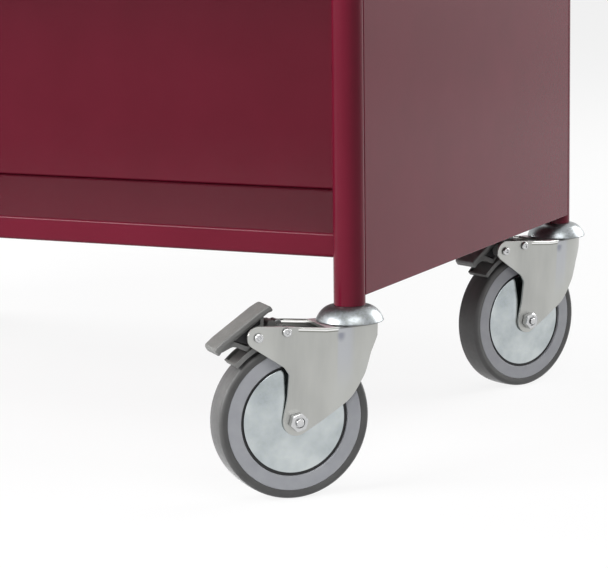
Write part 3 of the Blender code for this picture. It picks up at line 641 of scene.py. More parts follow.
def tray(name, low, high, notch_x, notch_y):
    """A flat top, cut back at its corners, with a hemmed lip down each of its four sides."""
    drop = high.z - low.z + HEM_DROP
    lip = eased([(-SHELF_FOLD, 0), (0, 0, SHELF_FOLD * FOLD_FILL), (0, -drop, HEM_RADIUS),
                 (-HEM_RETURN, -drop)], steps=6, closed=False)
    end_x, front_y = high.x - SHELF_FOLD, high.y - SHELF_FOLD
    corners = []
    for sx, sy in ((1, -1), (1, 1), (-1, 1), (-1, -1)):
        notch = [(sx * notch_x, sy * front_y), (sx * notch_x, sy * notch_y), (sx * end_x, sy * notch_y)]
        corners += notch if sx * sy < 0 else notch[::-1]
    bm = bmesh.new()
    top = [bm.verts.new((x, y, high.z)) for x, y in corners]
    bm.faces.new(top)
    for first, second, out in TRAY_SIDES:
        above = [top[first], top[second]]
        for offset, height in lip[1:]:
            shift = Vector((out[0] * (offset + SHELF_FOLD), out[1] * (offset + SHELF_FOLD), height))
            below = [bm.verts.new(top[index].co + shift) for index in (first, second)]
            bm.faces.new((above[1], above[0], below[0], below[1]))
            above = below
    return mesh_of(bm, name)


low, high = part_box("end_frame_right")
notch_x, notch_y = low.x - SEAT_GAP, post_y - tube_radius - SEAT_GAP
shelves = sorted(name for name in frame["nodes"] if name.startswith("shelf_"))
for name in shelves:
    low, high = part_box(name)
    mesh = thickened(tray("tray_" + name, low, high, notch_x, notch_y), SHELF_SHEET)
    dress("tray_" + name, mesh, PAINT, [name])
print("trays:", shelves)

# %% [markdown]
# ## Partitions
# A sheet down the middle keeps the books on the two sides apart, with flanges that are welded to the
# shelves. Bent sheet never has a sharp corner, so the section is a rounded line, offset by the sheet's
# thickness to close it, and then extruded along the trolley. Its ends run on to the end panels, as the
# welds there do.

# %% Flanged sheets
PARTITION_SHEET = 1.0 * MM
PARTITION_BEND = 2.0 * MM
PARTITION_EDGE = 0.25 * MM
PARTITION_WELD = 4.2 * MM


def sheet_section(line, thickness):
    """Close an open line into the section of a sheet, by offsetting it to its left."""
    offset = []
    for index, point in enumerate(line):
        ahead = Vector(line[min(index + 1, len(line) - 1)]) - Vector(line[max(index - 1, 0)])
        left = Vector((-ahead.y, ahead.x)).normalized()
        offset.append(tuple(Vector(point) + left * thickness))
    return line + offset[::-1]


for name in ("partition_1", "partition_2", "top_divider"):
    low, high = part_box(name)
    wall_y, flange_y = low.y, high.y
    corners = [(flange_y, low.z), (wall_y, low.z, PARTITION_BEND), (wall_y, high.z, PARTITION_BEND)]
    if name != "top_divider":
        corners.append((flange_y, high.z))
    section = sheet_section(eased(corners, closed=False), -PARTITION_SHEET)
    mesh = extruded("sheet_" + name, section, low.x - PARTITION_WELD, high.x + PARTITION_WELD, "yz",
                    PARTITION_EDGE)
    dress("sheet_" + name, mesh, PAINT, [name])
    print(name, [round(size / MM, 1) for size in high - low], "mm")

# %% [markdown]
# ## Where each castor stands
# The four castors are the same but for the brake, so each shape is made once, in a castor's own frame: x
# runs along the trail from the post to the axle, y points to the side that the nut is on, and z is up from
# the floor. A matrix per castor, read from its joints, then sets the shape in place.

# %% The castors' own frames
BRAKED = {"front_right": True, "rear_right": True, "front_left": False, "rear_left": False}


def local_frame(place):
    """The matrix from a castor's own frame to the trolley's."""
    post = Vector(joints["swivel_" + place]["pos_m"])
    trail = Vector(joints["wheel_turn_" + place]["pos_m"]) - post
    return Matrix.Translation((post.x, post.y, 0)) @ Matrix.Rotation(math.atan2(trail.y, trail.x), 4, "Z")


castor_at = {place: local_frame(place) for place in BRAKED}


def in_castor(joint):
    """A joint of the front right castor, in the castor's own frame."""
    return castor_at["front_right"].inverted() @ Vector(joints[joint + "_front_right"]["pos_m"])


def on_castors(piece, mesh, finish, nodes, origin=Vector(), braked_only=False, sharp=SHARP_ANGLE):
    """Set a copy of a shape on each castor, with its own origin in the castor's frame."""
    for place, braked in BRAKED.items():
        if braked or not braked_only:
            solids = [name + "_" + place for name in nodes]
            at = castor_at[place] @ Matrix.Translation(origin)
            dress(piece + "_" + place, mesh.copy(), finish, solids, at, sharp)


AXLE = in_castor("wheel_turn")
PEDAL_PIN = in_castor("pedal_press")
SHOE_PIN = in_castor("shoe_close")
FORK_TOP = in_castor("swivel").z
POST_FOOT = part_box("end_frame_right")[0].z
print("trail", round(AXLE.x / MM, 1), "mm, crown at", round(FORK_TOP / MM, 1), "mm")

# %% [markdown]
# ## Swivel cup
# The cup is spun from sheet and hides the ball race, so it is turned. It is shaped like a bell: a short
# straight rim with an eased edge, then a flare that steepens up to the tube. A plain quarter of an ellipse
# would look too round. Inside it are the king pin with its flange and the stem that plugs into the tube.

# %% The cup, king pin and stem
CUP_RADIUS = 26.7 * MM
CUP_WALL = 2.2 * MM
CUP_RIM = 0.9 * MM
CUP_EDGE = 0.7 * MM
CUP_SHOULDER = 0.8 * MM
CUP_FLARE = math.radians(25)
DOME_STEPS = 14
BALL = 5 * MM
FORK_SHEET = 2 * MM
KING_PIN = 6 * MM
FLANGE_RADIUS = 11 * MM
FLANGE = 3.6 * MM
FLANGE_EDGE = 0.8 * MM
STEM = 40 * MM
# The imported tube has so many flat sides, and the stem has to clear the middle of each
PACKED_SIDES = 16

cup_top, cup_low = POST_FOOT - FOOT_DROP - SEAT_GAP, FORK_TOP + SEAT_GAP
race_roof = FORK_TOP + BALL + 2 * SEAT_GAP
flange_top = FORK_TOP - FORK_SHEET - SEAT_GAP
plug = (tube_radius - TUBE_WALL) * math.cos(math.pi / PACKED_SIDES) - SEAT_GAP
shoulder = tube_radius + CUP_SHOULDER
dome_rise = cup_top - cup_low - CUP_RIM
section = eased([(0, flange_top - FLANGE), (FLANGE_RADIUS, flange_top - FLANGE, FLANGE_EDGE),
                 (FLANGE_RADIUS, flange_top), (KING_PIN, flange_top), (KING_PIN, race_roof),
                 (CUP_RADIUS - CUP_WALL, race_roof), (CUP_RADIUS - CUP_WALL, cup_low),
                 (CUP_RADIUS, cup_low, CUP_EDGE), (CUP_RADIUS, cup_low + CUP_RIM)], steps=4, closed=False)
for step in range(1, DOME_STEPS + 1):
    angle = CUP_FLARE + (math.pi / 2 - CUP_FLARE) * step / DOME_STEPS
    out = math.cos(angle) / math.cos(CUP_FLARE)
    rise = (math.sin(angle) - math.sin(CUP_FLARE)) / (1 - math.sin(CUP_FLARE))
    section.append((shoulder + (CUP_RADIUS - shoulder) * out, cup_top - dome_rise + dome_rise * rise))
section += [(plug, cup_top), (plug, POST_FOOT + STEM), (0, POST_FOOT + STEM)]
cup = turned("swivel_cup", section, 72, (0, 0, 1))
on_castors("swivel_cup", cup, SATIN, ["swivel_head"])
print("cup section:", len(section), "points")

# %% [markdown]
# ## Fork
# One sheet makes the fork: a level crown under the cup with a cheek folded down on each side of the wheel,
# and a neck that curls round the front. A press bends the flat sheet, and the code does the same. It starts
# with the flat outline of a cheek, whose crown edge rises a little behind the cup.

# %% The outline of a cheek
CROWN_HALF = 21.5 * MM
CROWN_FRONT = -19 * MM
CROWN_BACK = SHOE_PIN.x - 10.2 * MM
FRONT_DROP = 11 * MM
FRONT_CORNER = 1.5 * MM
LEG_END = 11.5 * MM
NOSE_RADIUS = 9 * MM
# Corners of the cheek: the front ones from the post's axis, the others from the axle, with their radius
CHEEK_FRONT = in_mm((-11.9, 49.3, 5), (-6.7, 33, 35), (5, 14.75, 40))
CHEEK_CALF, CHEEK_KNEE = in_mm((8, 18.5, 30), (6.8, 37.5, 4))
CHEEK_BELLY, CHEEK_BACK = in_mm((10.8, 43.5, 8), (8, 62, 5))


def crown_rise(reach):
    """How far the crown bends up beyond the cup."""
    return max(reach - FORK_BEND, 0) * FORK_RAKE


def cheek_outline(braked):
    """A cheek's outline as (reach, height) points, with its crown edge at the end."""
    front = [(CROWN_FRONT, FORK_TOP), (CROWN_FRONT, FORK_TOP - FRONT_DROP, FRONT_CORNER)]
    front += [(reach, AXLE.z + rise, radius) for reach, rise, radius in CHEEK_FRONT]
    leg = arc((AXLE.x, AXLE.z), LEG_END, 240, 372, 12)
    back = [CHEEK_CALF, CHEEK_KNEE, CHEEK_BELLY if braked else CHEEK_BACK]
    back = [(AXLE.x + reach, AXLE.z + rise, radius) for reach, rise, radius in back]
    crown = [(CROWN_BACK, FORK_TOP + crown_rise(CROWN_BACK)), (FORK_BEND, FORK_TOP)]
    nose = []
    if braked:
        top_angle = 90 + math.degrees(math.atan(FORK_RAKE))
        nose = arc((PEDAL_PIN.x, PEDAL_PIN.z), NOSE_RADIUS, -55, top_angle, 14)
    points = eased(front + [leg[0]], closed=False)[:-1] + leg
    points += eased([leg[-1]] + back + [nose[0] if nose else crown[0]], closed=False)[1:-1]
    return points + nose + crown


print("cheek outline:", len(cheek_outline(True)), "points")

# %% [markdown]
# ## The bent surface
# The bent surface is one function of reach and height. Its middle is the flat, slightly splayed cheek. Its
# top swells into a bead and rolls over a fold into the crown. Ahead of the post it curls into the neck. The
# thickness follows the surface's own normal, found from two neighbouring points, so it is even everywhere.

# %% From the flat sheet to the bent fork
AXLE_HALF = 16.1 * MM
CROWN_FOLD = 0.5 * MM
FOLD_END = 5 * MM
BEAD = 0.7 * MM
BEAD_DOWN = 1.4 * MM
BEAD_START = 16 * MM
BEAD_FADE = 3 * MM
NECK_START = 13 * MM
NECK_BEND = 6 * MM
NECK_SLOPE = 0.2
NECK_CURL = 19 * MM
CURL_RADIUS = 22 * MM
NEAR = 1e-5


def bent_face(reach, height):
    """The point on a cheek's outer face for a place on the flat sheet, before the crown's rake."""
    share = max((height - AXLE.z) / (FORK_TOP - AXLE.z), 0)
    half = AXLE_HALF + (CROWN_HALF - AXLE_HALF) * share
    fold = CROWN_FOLD * min(max((CROWN_BACK + FOLD_END - reach) / FOLD_END, 0), 1)
    over = height - (FORK_TOP - fold)
    if over > 0 and fold > 0:
        angle = over / fold * math.pi / 2
        half += fold * (math.cos(angle) - 1)
        height = FORK_TOP + fold * (math.sin(angle) - 1)
    bead = max(1 - abs(height - (FORK_TOP - BEAD_DOWN)) / BEAD_DOWN, 0)
    bead *= min(max((reach - BEAD_START) / BEAD_FADE, 0), max((CROWN_BACK - reach) / BEAD_FADE, 0), 1)
    half += BEAD * bead * bead * (3 - 2 * bead)
    past = max(NECK_START - reach, 0)
    bending = min(past, NECK_BEND)
    narrowing = NECK_SLOPE * (bending ** 2 / (2 * NECK_BEND) + past - bending)
    curl = max(past - NECK_CURL, 0) ** 2 / (2 * CURL_RADIUS)
    return Vector((reach, half - narrowing - curl, height))


def bent(reach, inward, height):
    """A point of the flat sheet, some way in from its outer face, moved to the bent fork."""
    face = bent_face(reach, height)
    ahead = bent_face(reach + NEAR, height) - bent_face(reach - NEAR, height)
    up = bent_face(reach, height + NEAR) - bent_face(reach, height - NEAR)
    place = face + up.cross(ahead).normalized() * inward
    place.z += crown_rise(reach)
    return place


print("cheeks stand", round(2 * bent_face(AXLE.x, AXLE.z).y / MM, 1), "mm apart at the axle")

# %% [markdown]
# ## The flat cheek
# A flat face can't bend, because it has points only at its rim. So the cheek is drawn flat with its
# thickness and eased edges, and then cut into strips: narrow ones where it curls or folds, and wide ones
# where it stays flat. The crown's edge is left open, to be joined across later.

# %% Draw a cheek and cut it into strips
CHEEK_EDGE = 0.35 * MM
NECK_STRIP, NECK_STRIPS = 1.4 * MM, 21
FOLD_STRIP, FOLD_STRIPS = 0.26 * MM, 14
WIDE_STRIP, WIDE_STRIPS = 8 * MM, 8
BACK_STRIP, BACK_STRIPS = 1 * MM, 6


def cheek_sheet(bm, braked):
    """Draw one cheek flat, with its thickness, and cut it into strips."""
    flat = [(u, z - crown_rise(u)) for u, z in cheek_outline(braked)]
    outer = bm.faces.new([bm.verts.new((u, 0, z)) for u, z in flat])
    made = bmesh.ops.extrude_face_region(bm, geom=[outer])["geom"]
    inner = [v for v in made if isinstance(v, bmesh.types.BMVert)]
    bmesh.ops.translate(bm, vec=(0, -FORK_SHEET, 0), verts=inner)
    crown_rim = [f for f in bm.faces if f.calc_center_median().z > FORK_TOP - NEAR
                 and f.calc_center_median().x < CROWN_BACK]
    bmesh.ops.delete(bm, geom=crown_rim, context="FACES_ONLY")
    rim = [e for e in bm.edges
           if len(e.link_faces) == 2 and abs(e.verts[0].co.y - e.verts[1].co.y) < NEAR]
    bmesh.ops.bevel(bm, geom=rim, offset=CHEEK_EDGE, segments=2, profile=0.5, affect="EDGES")
    strips = [CROWN_FRONT + NECK_STRIP * step for step in range(1, NECK_STRIPS + 1)]
    strips += [19 * MM, 30 * MM, 40 * MM, CROWN_BACK - 3 * MM]
    strips += [CROWN_BACK + BACK_STRIP * step for step in range(BACK_STRIPS)]
    levels = [FORK_TOP - FOLD_STRIP * step for step in range(1, FOLD_STRIPS + 1)]
    levels += [FORK_TOP - WIDE_STRIP * step for step in range(1, WIDE_STRIPS + 1)]
    for normal, cuts in (((1, 0, 0), strips), ((0, 0, 1), levels)):
        for cut in cuts:
            everything = bm.verts[:] + bm.edges[:] + bm.faces[:]
            bmesh.ops.bisect_plane(bm, geom=everything, plane_co=cut * Vector(normal), plane_no=normal)


def crown_edge(verts, depth):
    """The vertices along a flat cheek's open crown edge, at some depth in the sheet, front to back."""
    found = [v for v in verts if v.co.z > FORK_TOP - NEAR and v.co.x < CROWN_BACK + NEAR
             and abs(v.co.y + depth) < NEAR]
    return sorted(found, key=lambda v: v.co.x)


print("cuts across the neck:", NECK_STRIPS, "and down the fold:", FOLD_STRIPS)

# %% [markdown]
# ## Bending the fork
# Each point of the flat cheek moves to its place on the bent surface, once for each side of the wheel. Faces
# between the two crown edges make the crown, above and below, and a hole is bored in it for the king pin.

# %% Bend two cheeks and a crown into a fork
BORE_PLAY = 0.4 * MM
BORE_BELOW, BORE_ABOVE = 5 * MM, 9 * MM


def fork(name, braked):
    """Two bent cheeks and the crown between them, bored for the king pin."""
    bm = bmesh.new()
    cheek_sheet(bm, braked)
    flat = bpy.data.meshes.new("flat_cheek")
    bm.to_mesh(flat)
    bm.free()
    bm = bmesh.new()
    edges = []
    for side in (1, -1):
        first = len(bm.verts)
        bm.from_mesh(flat)
        bm.verts.ensure_lookup_table()
        half = bm.verts[first:]
        edges.append([crown_edge(half, depth) for depth in (0, FORK_SHEET)])
        for v in half:
            place = bent(v.co.x, v.co.y, v.co.z)
            v.co = (place.x, side * place.y, place.z)
    (near_top, near_under), (far_top, far_under) = edges
    for near, far in ((near_top, far_top), (near_under, far_under)):
        for index in range(len(near) - 1):
            bm.faces.new((near[index], near[index + 1], far[index + 1], far[index]))
    for index in (0, -1):
        bm.faces.new((near_top[index], near_under[index], far_under[index], far_top[index]))
    mesh = mesh_of(bm, name)
    radius, length = KING_PIN + BORE_PLAY, FORK_TOP + BORE_ABOVE
    bore = turned("bore", [(0, 0), (radius, 0), (radius, length), (0, length)], 36, (0, 0, 1))
    bore.transform(Matrix.Translation((0, 0, FORK_TOP - BORE_BELOW)))
    return combined(mesh, [bore], "DIFFERENCE")


for place, braked in BRAKED.items():
    dress("pressed_fork_" + place, fork("pressed_fork", braked), ZINC, ["fork_" + place],
          castor_at[place])

# %% [markdown]
# ## Tyre and wheel centre
# Everything on the wheel is turned about the axle. The tyre has round shoulders over a nearly flat tread,
# and the moulded centre shows as a smooth ring inside it. Both are the same on the two sides, so half of
# each section is drawn and mirrored.

# %% Turn the tyre and the wheel centre
WHEEL_RADIUS = 62.5 * MM
WHEEL_STEPS = 120
TURN_AXIS = (0, 1, 0)
TYRE_HALF = 13 * MM
TYRE_SEAT = 55.5 * MM
TYRE_SHOULDER = 3.2 * MM
TYRE_BEAD = 2.6 * MM
TYRE_LIP = 1.1 * MM
TREAD_FALL = 0.6 * MM
TREAD_HALF, TREAD_CROWN = 4 * MM, 40 * MM
RIM_OUTER = 55.4 * MM
RIM_INNER = 44.3 * MM
RIM_HALF = 11.8 * MM
RIM_WEB = 4 * MM
WEB_FILLET = 2 * MM
HUB_RADIUS = 15 * MM
HUB_HALF = 12.1 * MM
BUSH_HOLE = 8.8 * MM


def mirrored(side):
    """A section's one side, and its mirror image back again."""
    return side + [(point[0], -point[1], *point[2:]) for point in reversed(side)]


side = [(TYRE_SEAT, TYRE_HALF - TYRE_BEAD), (TYRE_SEAT, TYRE_HALF - TYRE_LIP, 0.3 * MM),
        (WHEEL_RADIUS - TREAD_FALL, TYRE_HALF, TYRE_SHOULDER), (WHEEL_RADIUS, TREAD_HALF, TREAD_CROWN)]
tyre = turned("wheel_tyre", eased(mirrored(side)), WHEEL_STEPS, TURN_AXIS)
on_castors("wheel_tyre", tyre, RUBBER, ["tyre"], AXLE)

side = [(BUSH_HOLE, HUB_HALF), (HUB_RADIUS, HUB_HALF), (HUB_RADIUS, RIM_WEB, WEB_FILLET),
        (RIM_INNER, RIM_WEB, WEB_FILLET), (RIM_INNER, RIM_HALF, 0.4 * MM), (RIM_OUTER, RIM_HALF, 0.3 * MM)]
centre = turned("wheel_centre", eased(mirrored(side)), WHEEL_STEPS, TURN_AXIS)
on_castors("wheel_centre", centre, NYLON, ["rim"], AXLE)
print("wheel:", round(2 * WHEEL_RADIUS / MM, 1), "mm across,", len(tyre.polygons), "faces on the tyre")

# %% [markdown]
# ## Wheel discs and seals
# A thin plated disc covers each face of the wheel. It is mostly a shallow cone, with a flat middle under the
# nut and a rolled edge that shines. A plain dome would spread its reflections too evenly. A near-black ring
# lies in the groove between the disc and the wheel centre, as painted shade in the groove.

# %% Turn the discs and the painted shade rings in their grooves
DISC_RADIUS = 41.4 * MM
DISC_EDGE = 10.7 * MM
DISC_DOME = 3.0 * MM
DISC_CONE = 0.67
DISC_FLAT = 8.8 * MM
DISC_SHEET = 0.8 * MM
DISC_STEPS = 16
ROLL_RADIUS = 0.5 * MM
GROOVE_FLOOR = 9.6 * MM
# Sizes of the near-black painted shade ring in each groove
GROOVE_SHADE_DEPTH, GROOVE_SHADE_SLOPE = 1 * MM, 0.3 * MM
GROOVE_SHADE_LAP_IN, GROOVE_SHADE_LAP_OUT = 2 * MM, 0.2 * MM


def disc_height(radius):
    """How far a disc stands out from the wheel's middle: a cone that rounds off, with a flat middle."""
    share = max(radius - DISC_FLAT, 0) / (DISC_RADIUS - DISC_FLAT)
    return DISC_EDGE + DISC_DOME * (1 - DISC_CONE * share - (1 - DISC_CONE) * share ** 2)


def on_both_faces(piece, section, finish):
    """Turn a section for the near face of every wheel, and its mirror image for the far face."""
    for face, side in (("near", 1), ("far", -1)):
        flipped = [(radius, side * along) for radius, along in section]
        mesh = turned(face + piece, flipped, WHEEL_STEPS, TURN_AXIS)
        on_castors(face + piece, mesh, finish, [face + "_disc"], AXLE)


radii = [(BUSH_HOLE + (DISC_RADIUS - BUSH_HOLE) * step / DISC_STEPS) for step in range(DISC_STEPS + 1)]
face = [(radius, disc_height(radius)) for radius in radii]
rolled = arc((DISC_RADIUS, DISC_EDGE - ROLL_RADIUS), ROLL_RADIUS, 90, -90, 8)
back = [(radius, disc_height(radius) - DISC_SHEET) for radius in reversed(radii[:-1])]
on_both_faces("_cover", face + rolled[1:-1] + back, BRIGHT)

# Painted shade: a near-black ring lies in the groove between the disc and the wheel centre
shade_in, shade_out = DISC_RADIUS - GROOVE_SHADE_LAP_IN, RIM_INNER + GROOVE_SHADE_LAP_OUT
shade_low = GROOVE_FLOOR - GROOVE_SHADE_DEPTH
groove_shade = [(shade_in, shade_low), (shade_out, shade_low), (shade_out, GROOVE_FLOOR),
        (shade_in, GROOVE_FLOOR - GROOVE_SHADE_SLOPE)]
on_both_faces("_groove_shade", groove_shade, SHADE_BLACK)
print("disc middle:", round(disc_height(DISC_FLAT) / MM, 2), "mm from the wheel's middle")

# %% [markdown]
# ## Axle bolt and nut
# Fasteners give scale, so they get their true forms. A nut is a hexagon whose corners were turned off by a
# cone, which leaves a curved edge on each flat. A cylinder with six sides would miss that curve. The bolt's
# end is turned down, so it shows as a smaller round in the nut.

# %% Hexagons with turned-off corners
NUT_FLATS = 6.5 * MM
NUT_HEIGHT = 5.6 * MM
NUT_TURN = 15
NUT_SEAT = 0.6 * MM
CHAMFER = math.tan(math.radians(30))
CHAMFER_START = 0.97
HEXAGON_STEPS = 72
BOLT_RADIUS = 4 * MM
BOLT_END = 1.7 * MM
BOLT_POINT = 3.1 * MM
BOLT_STEP = 1.6 * MM
BOLT_EDGE = 0.6 * MM
HEAD_CENTRE = 0.5 * MM
HEXAGON_SHARP = 30


def hexagon(name, low, high, hole, turn):
    """A hexagon along y from low to high, with its corners turned off at the high end, and a hole."""
    bm = bmesh.new()
    outward = math.copysign(1, high - low)
    rings = [[] for _ in range(5)]
    for step in range(HEXAGON_STEPS):
        angle = math.tau * step / HEXAGON_STEPS
        from_flat = (angle - math.radians(turn) + math.pi / 6) % (math.pi / 3) - math.pi / 6
        corner = NUT_FLATS / math.cos(from_flat)
        turned_off = max(corner - NUT_FLATS * CHAMFER_START, 0) * CHAMFER
        line = [(hole, low), (corner, low), (corner, high - outward * turned_off),
                (NUT_FLATS * CHAMFER_START, high), (hole, high)]
        for ring, (radius, along) in zip(rings, line):
            ring.append(bm.verts.new((radius * math.cos(angle), along, radius * math.sin(angle))))
    for ring, following in zip(rings, rings[1:] + rings[:1]):
        for step in range(HEXAGON_STEPS):
            ahead = (step + 1) % HEXAGON_STEPS
            bm.faces.new((ring[step], ring[ahead], following[ahead], following[step]))
    return mesh_of(bm, name)


cheek_face = AXLE_HALF + SEAT_GAP + NUT_SEAT
nut_top = cheek_face + NUT_HEIGHT
bolt_end = nut_top + BOLT_END
head_middle = -cheek_face - NUT_HEIGHT / 2
section = eased([(0, head_middle), (BOLT_RADIUS, head_middle), (BOLT_RADIUS, nut_top - BOLT_STEP),
                 (BOLT_POINT, nut_top - BOLT_STEP), (BOLT_POINT, bolt_end, BOLT_EDGE), (0, bolt_end)],
                steps=4, closed=False)
shaft = turned("axle_bolt", section, 36, TURN_AXIS)
head = hexagon("bolt_head", -cheek_face, -cheek_face - NUT_HEIGHT, HEAD_CENTRE, NUT_TURN)
bolt = combined(shaft, [head], "UNION")
on_castors("hexagon_bolt", bolt, STEEL, ["axle_bolt"], AXLE, sharp=HEXAGON_SHARP)
nut = hexagon("hexagon_nut", cheek_face, nut_top, BOLT_RADIUS + SEAT_GAP, NUT_TURN)
on_castors("hexagon_nut", nut, STEEL, ["axle_nut"], AXLE, sharp=HEXAGON_SHARP)
print("nut:", round(2 * NUT_FLATS / MM, 1), "mm across its flats")

# %% [markdown]
# ## Rivets
# The pedal and the shoe turn on rivets through both cheeks. A rivet's head has a round shoulder and a dimple
# from the punch that closed it. One head is drawn, mirrored to the other end, and turned about the pin.

# %% Rivets with dimpled heads
RIVET_HEAD = 3.7 * MM
RIVET_SHANK = 2.5 * MM
RIVET_HEIGHT = 1.6 * MM
RIVET_TAPER = 0.4 * MM
RIVET_SHOULDER = 0.9 * MM
DIMPLE = 1.8 * MM
DIMPLE_TAPER = 0.7
for name, pin in (("pedal", PEDAL_PIN), ("shoe", SHOE_PIN)):
    share = (pin.z + RIVET_HEAD - AXLE.z) / (FORK_TOP - AXLE.z)
    seat = AXLE_HALF + (CROWN_HALF - AXLE_HALF) * share + SEAT_GAP
    head = seat + RIVET_HEIGHT
    side = [(RIVET_SHANK, seat), (RIVET_HEAD, seat), (RIVET_HEAD - RIVET_TAPER, head, RIVET_SHOULDER),
            (DIMPLE, head, 0.3 * MM), (DIMPLE * DIMPLE_TAPER, seat + 0.3 * MM, 0.4 * MM),
            (0, seat + 0.2 * MM)]
    section = [(0, -side[-1][1])] + mirrored(side)[len(side) + 1:] + side
    mesh = turned(name + "_rivet", eased(section, 4, closed=False), 36, TURN_AXIS)
    on_castors(name + "_rivet", mesh, STEEL, [name + "_pin"], pin, braked_only=True)
print("rivet heads:", round(2 * RIVET_HEAD / MM, 1), "mm across")

# %% [markdown]
# ## Brake pedal
# The pedal is a grey moulding that rocks on its rivet: a foot plate with soft ends, a curved arm under its
# outer end and a rib at its inner end. Between them a near-black core stands in for the shade inside the
# hollow moulding, as painted shade. It is drawn level about its pin, each part as an outline across the
# castor, joined, and then tilted to where it stands when the brake is off. The arm is narrower than the
# plate, so that it passes between the walls of the shoe when the pedal is pressed.

# %% Foot plate, arm, rib and painted shade core
PEDAL_TILT = math.radians(34.5)
PEDAL_HALF = 12.5 * MM
PEDAL_EDGE = 1.5 * MM
PLATE_UNDER, PLATE_TOP = 7.8 * MM, 12.9 * MM
PLATE_INNER, PLATE_OUTER = -23.8 * MM, 32.2 * MM
PLATE_FALL = 1 * MM
PLATE_BEND = 9 * MM
PEDAL_HUB, PEDAL_HUB_HALF = 5.6 * MM, 11 * MM
ARM_HALF = 10.3 * MM
RIB_HALF = 11.9 * MM
CORE_HALF = 9.5 * MM

plate = eased([(PLATE_OUTER, PLATE_UNDER - 2.8 * MM, 1.4 * MM),
               (PLATE_OUTER, PLATE_TOP - PLATE_FALL, 2.6 * MM),
               (PLATE_OUTER - PLATE_BEND, PLATE_TOP, 20 * MM),
               (PLATE_INNER + PLATE_BEND, PLATE_TOP, 20 * MM),
               (PLATE_INNER, PLATE_TOP - PLATE_FALL, 2.6 * MM),
               (PLATE_INNER, PLATE_UNDER - 1.6 * MM, 1.4 * MM),
               (PLATE_INNER + 5 * MM, PLATE_UNDER, 4 * MM),
               (PLATE_OUTER - PLATE_BEND, PLATE_UNDER, 4 * MM)])
arm = eased(in_mm((28.4, 8), (27.6, 5.4, 1.2), (17.6, 3.6, 6), (11.4, -7.0, 1), (3, -4.6), (3, -2),
                  (8.4, -4.0, 1), (16.2, 8)))
rib = in_mm((-15, 8), (-10.6, 1.8), (-3, 1), (-3, 4), (-9, 4), (-11.6, 8))
hub = arc((0, 0), PEDAL_HUB, 0, 360, 32)[1:]
core = in_mm((-12.4, 8.4), (-8, 2), (0, -3), (7.4, -3), (16.2, 8.4))
tilt = Matrix.Rotation(PEDAL_TILT, 4, "Y")
pedal = extruded("pedal", plate, -PEDAL_HALF, PEDAL_HALF, ease=PEDAL_EDGE, rounds=4)
parts = [extruded("arm", arm, -ARM_HALF, ARM_HALF, ease=0.5 * MM),
         extruded("rib", rib, -RIB_HALF, RIB_HALF, ease=0.4 * MM),
         extruded("hub", hub, -PEDAL_HUB_HALF, PEDAL_HUB_HALF)]
pedal = combined(pedal, parts, "UNION")
pedal.transform(tilt)
on_castors("foot_pedal", pedal, PLASTIC, ["brake_pedal"], PEDAL_PIN, True)
# Painted shade: a near-black core fills the hollow of the pedal, where there is only shade
core = extruded("core", core, -CORE_HALF, CORE_HALF)
core.transform(tilt)
on_castors("pedal_shade_core", core, SHADE_BLACK, ["brake_pedal"], PEDAL_PIN, True)
print("pedal:", round((PLATE_OUTER - PLATE_INNER) / MM, 1), "mm long, with a black core")

# %% [markdown]
# ## Brake shoe
# The shoe is a curved tongue that lies just above the tread and is pulled down onto it. It has a raised rim
# round its open end, so it is a curved plate with three curved walls, joined to the hub it hangs from.

# %% A curved tongue with a rim
SHOE_INSIDE, SHOE_OUTSIDE = 64.4 * MM, 65.8 * MM
SHOE_RIM = 68.2 * MM
SHOE_HALF = 12.5 * MM
SHOE_TOE, SHOE_HEEL, SHOE_RIM_END = 44, 82.6, 70
SHOE_WALL = 1.6 * MM
TOE_WALL = 1.6
SHOE_HUB, SHOE_HUB_HALF = 4.6 * MM, 11.7 * MM
to_axle = (AXLE.x - SHOE_PIN.x, AXLE.z - SHOE_PIN.z)


def curved(name, inner, outer, first, last, low, high, ease):
    """A plate that curves round the axle, between two radii and two angles, across the castor."""
    outline = arc(to_axle, inner, first, last, 16) + arc(to_axle, outer, last, first, 16)
    return extruded(name, outline, low, high, ease=ease)


tongue = curved("tongue", SHOE_INSIDE, SHOE_OUTSIDE, SHOE_TOE, SHOE_HEEL, -SHOE_HALF, SHOE_HALF, 0.3 * MM)
# The walls start a hair inside the tongue, so that no two faces lie in one plane where they are joined
wall = SHOE_HALF - 0.1 * MM
parts = [curved("wall", SHOE_INSIDE + 0.3 * MM, SHOE_RIM, SHOE_TOE + 0.1, SHOE_RIM_END,
                side * wall, side * (wall - SHOE_WALL), 0.35 * MM) for side in (1, -1)]
parts.append(curved("toe", SHOE_INSIDE + 0.35 * MM, SHOE_RIM - 0.4 * MM, SHOE_TOE + 0.15,
                    SHOE_TOE + TOE_WALL, -wall + 0.3 * MM, wall - 0.3 * MM, 0.3 * MM))
hub = arc((0, 0), SHOE_HUB, 0, 360, 40)[1:]
parts.append(extruded("hub", hub, -SHOE_HUB_HALF, SHOE_HUB_HALF, ease=0.4 * MM))
shoe = combined(tongue, parts, "UNION")
on_castors("curved_shoe", shoe, PLASTIC, ["brake_shoe"], SHOE_PIN, True)
print("shoe:", round(SHOE_INSIDE / MM - WHEEL_RADIUS / MM, 1), "mm above the tread")

# %% [markdown]
# ## Cam and roller
# Between the pedal and the shoe sit a small moulded cam and a dark steel roller. Only their ends show,
# between the cheeks, so a rounded outline and a turned pin are enough.

# %% The cam and roller on the shoe
CAM_FAR, CAM_NEAR = -9 * MM, 7 * MM
CAM_EDGE = 0.4 * MM
ROLLER_RADIUS, ROLLER_EDGE = 3.8 * MM, 0.6 * MM
ROLLER_FAR, ROLLER_NEAR = -7 * MM, 5 * MM
ROLLER_AT = (1.5 * MM, 0, 3.6 * MM)

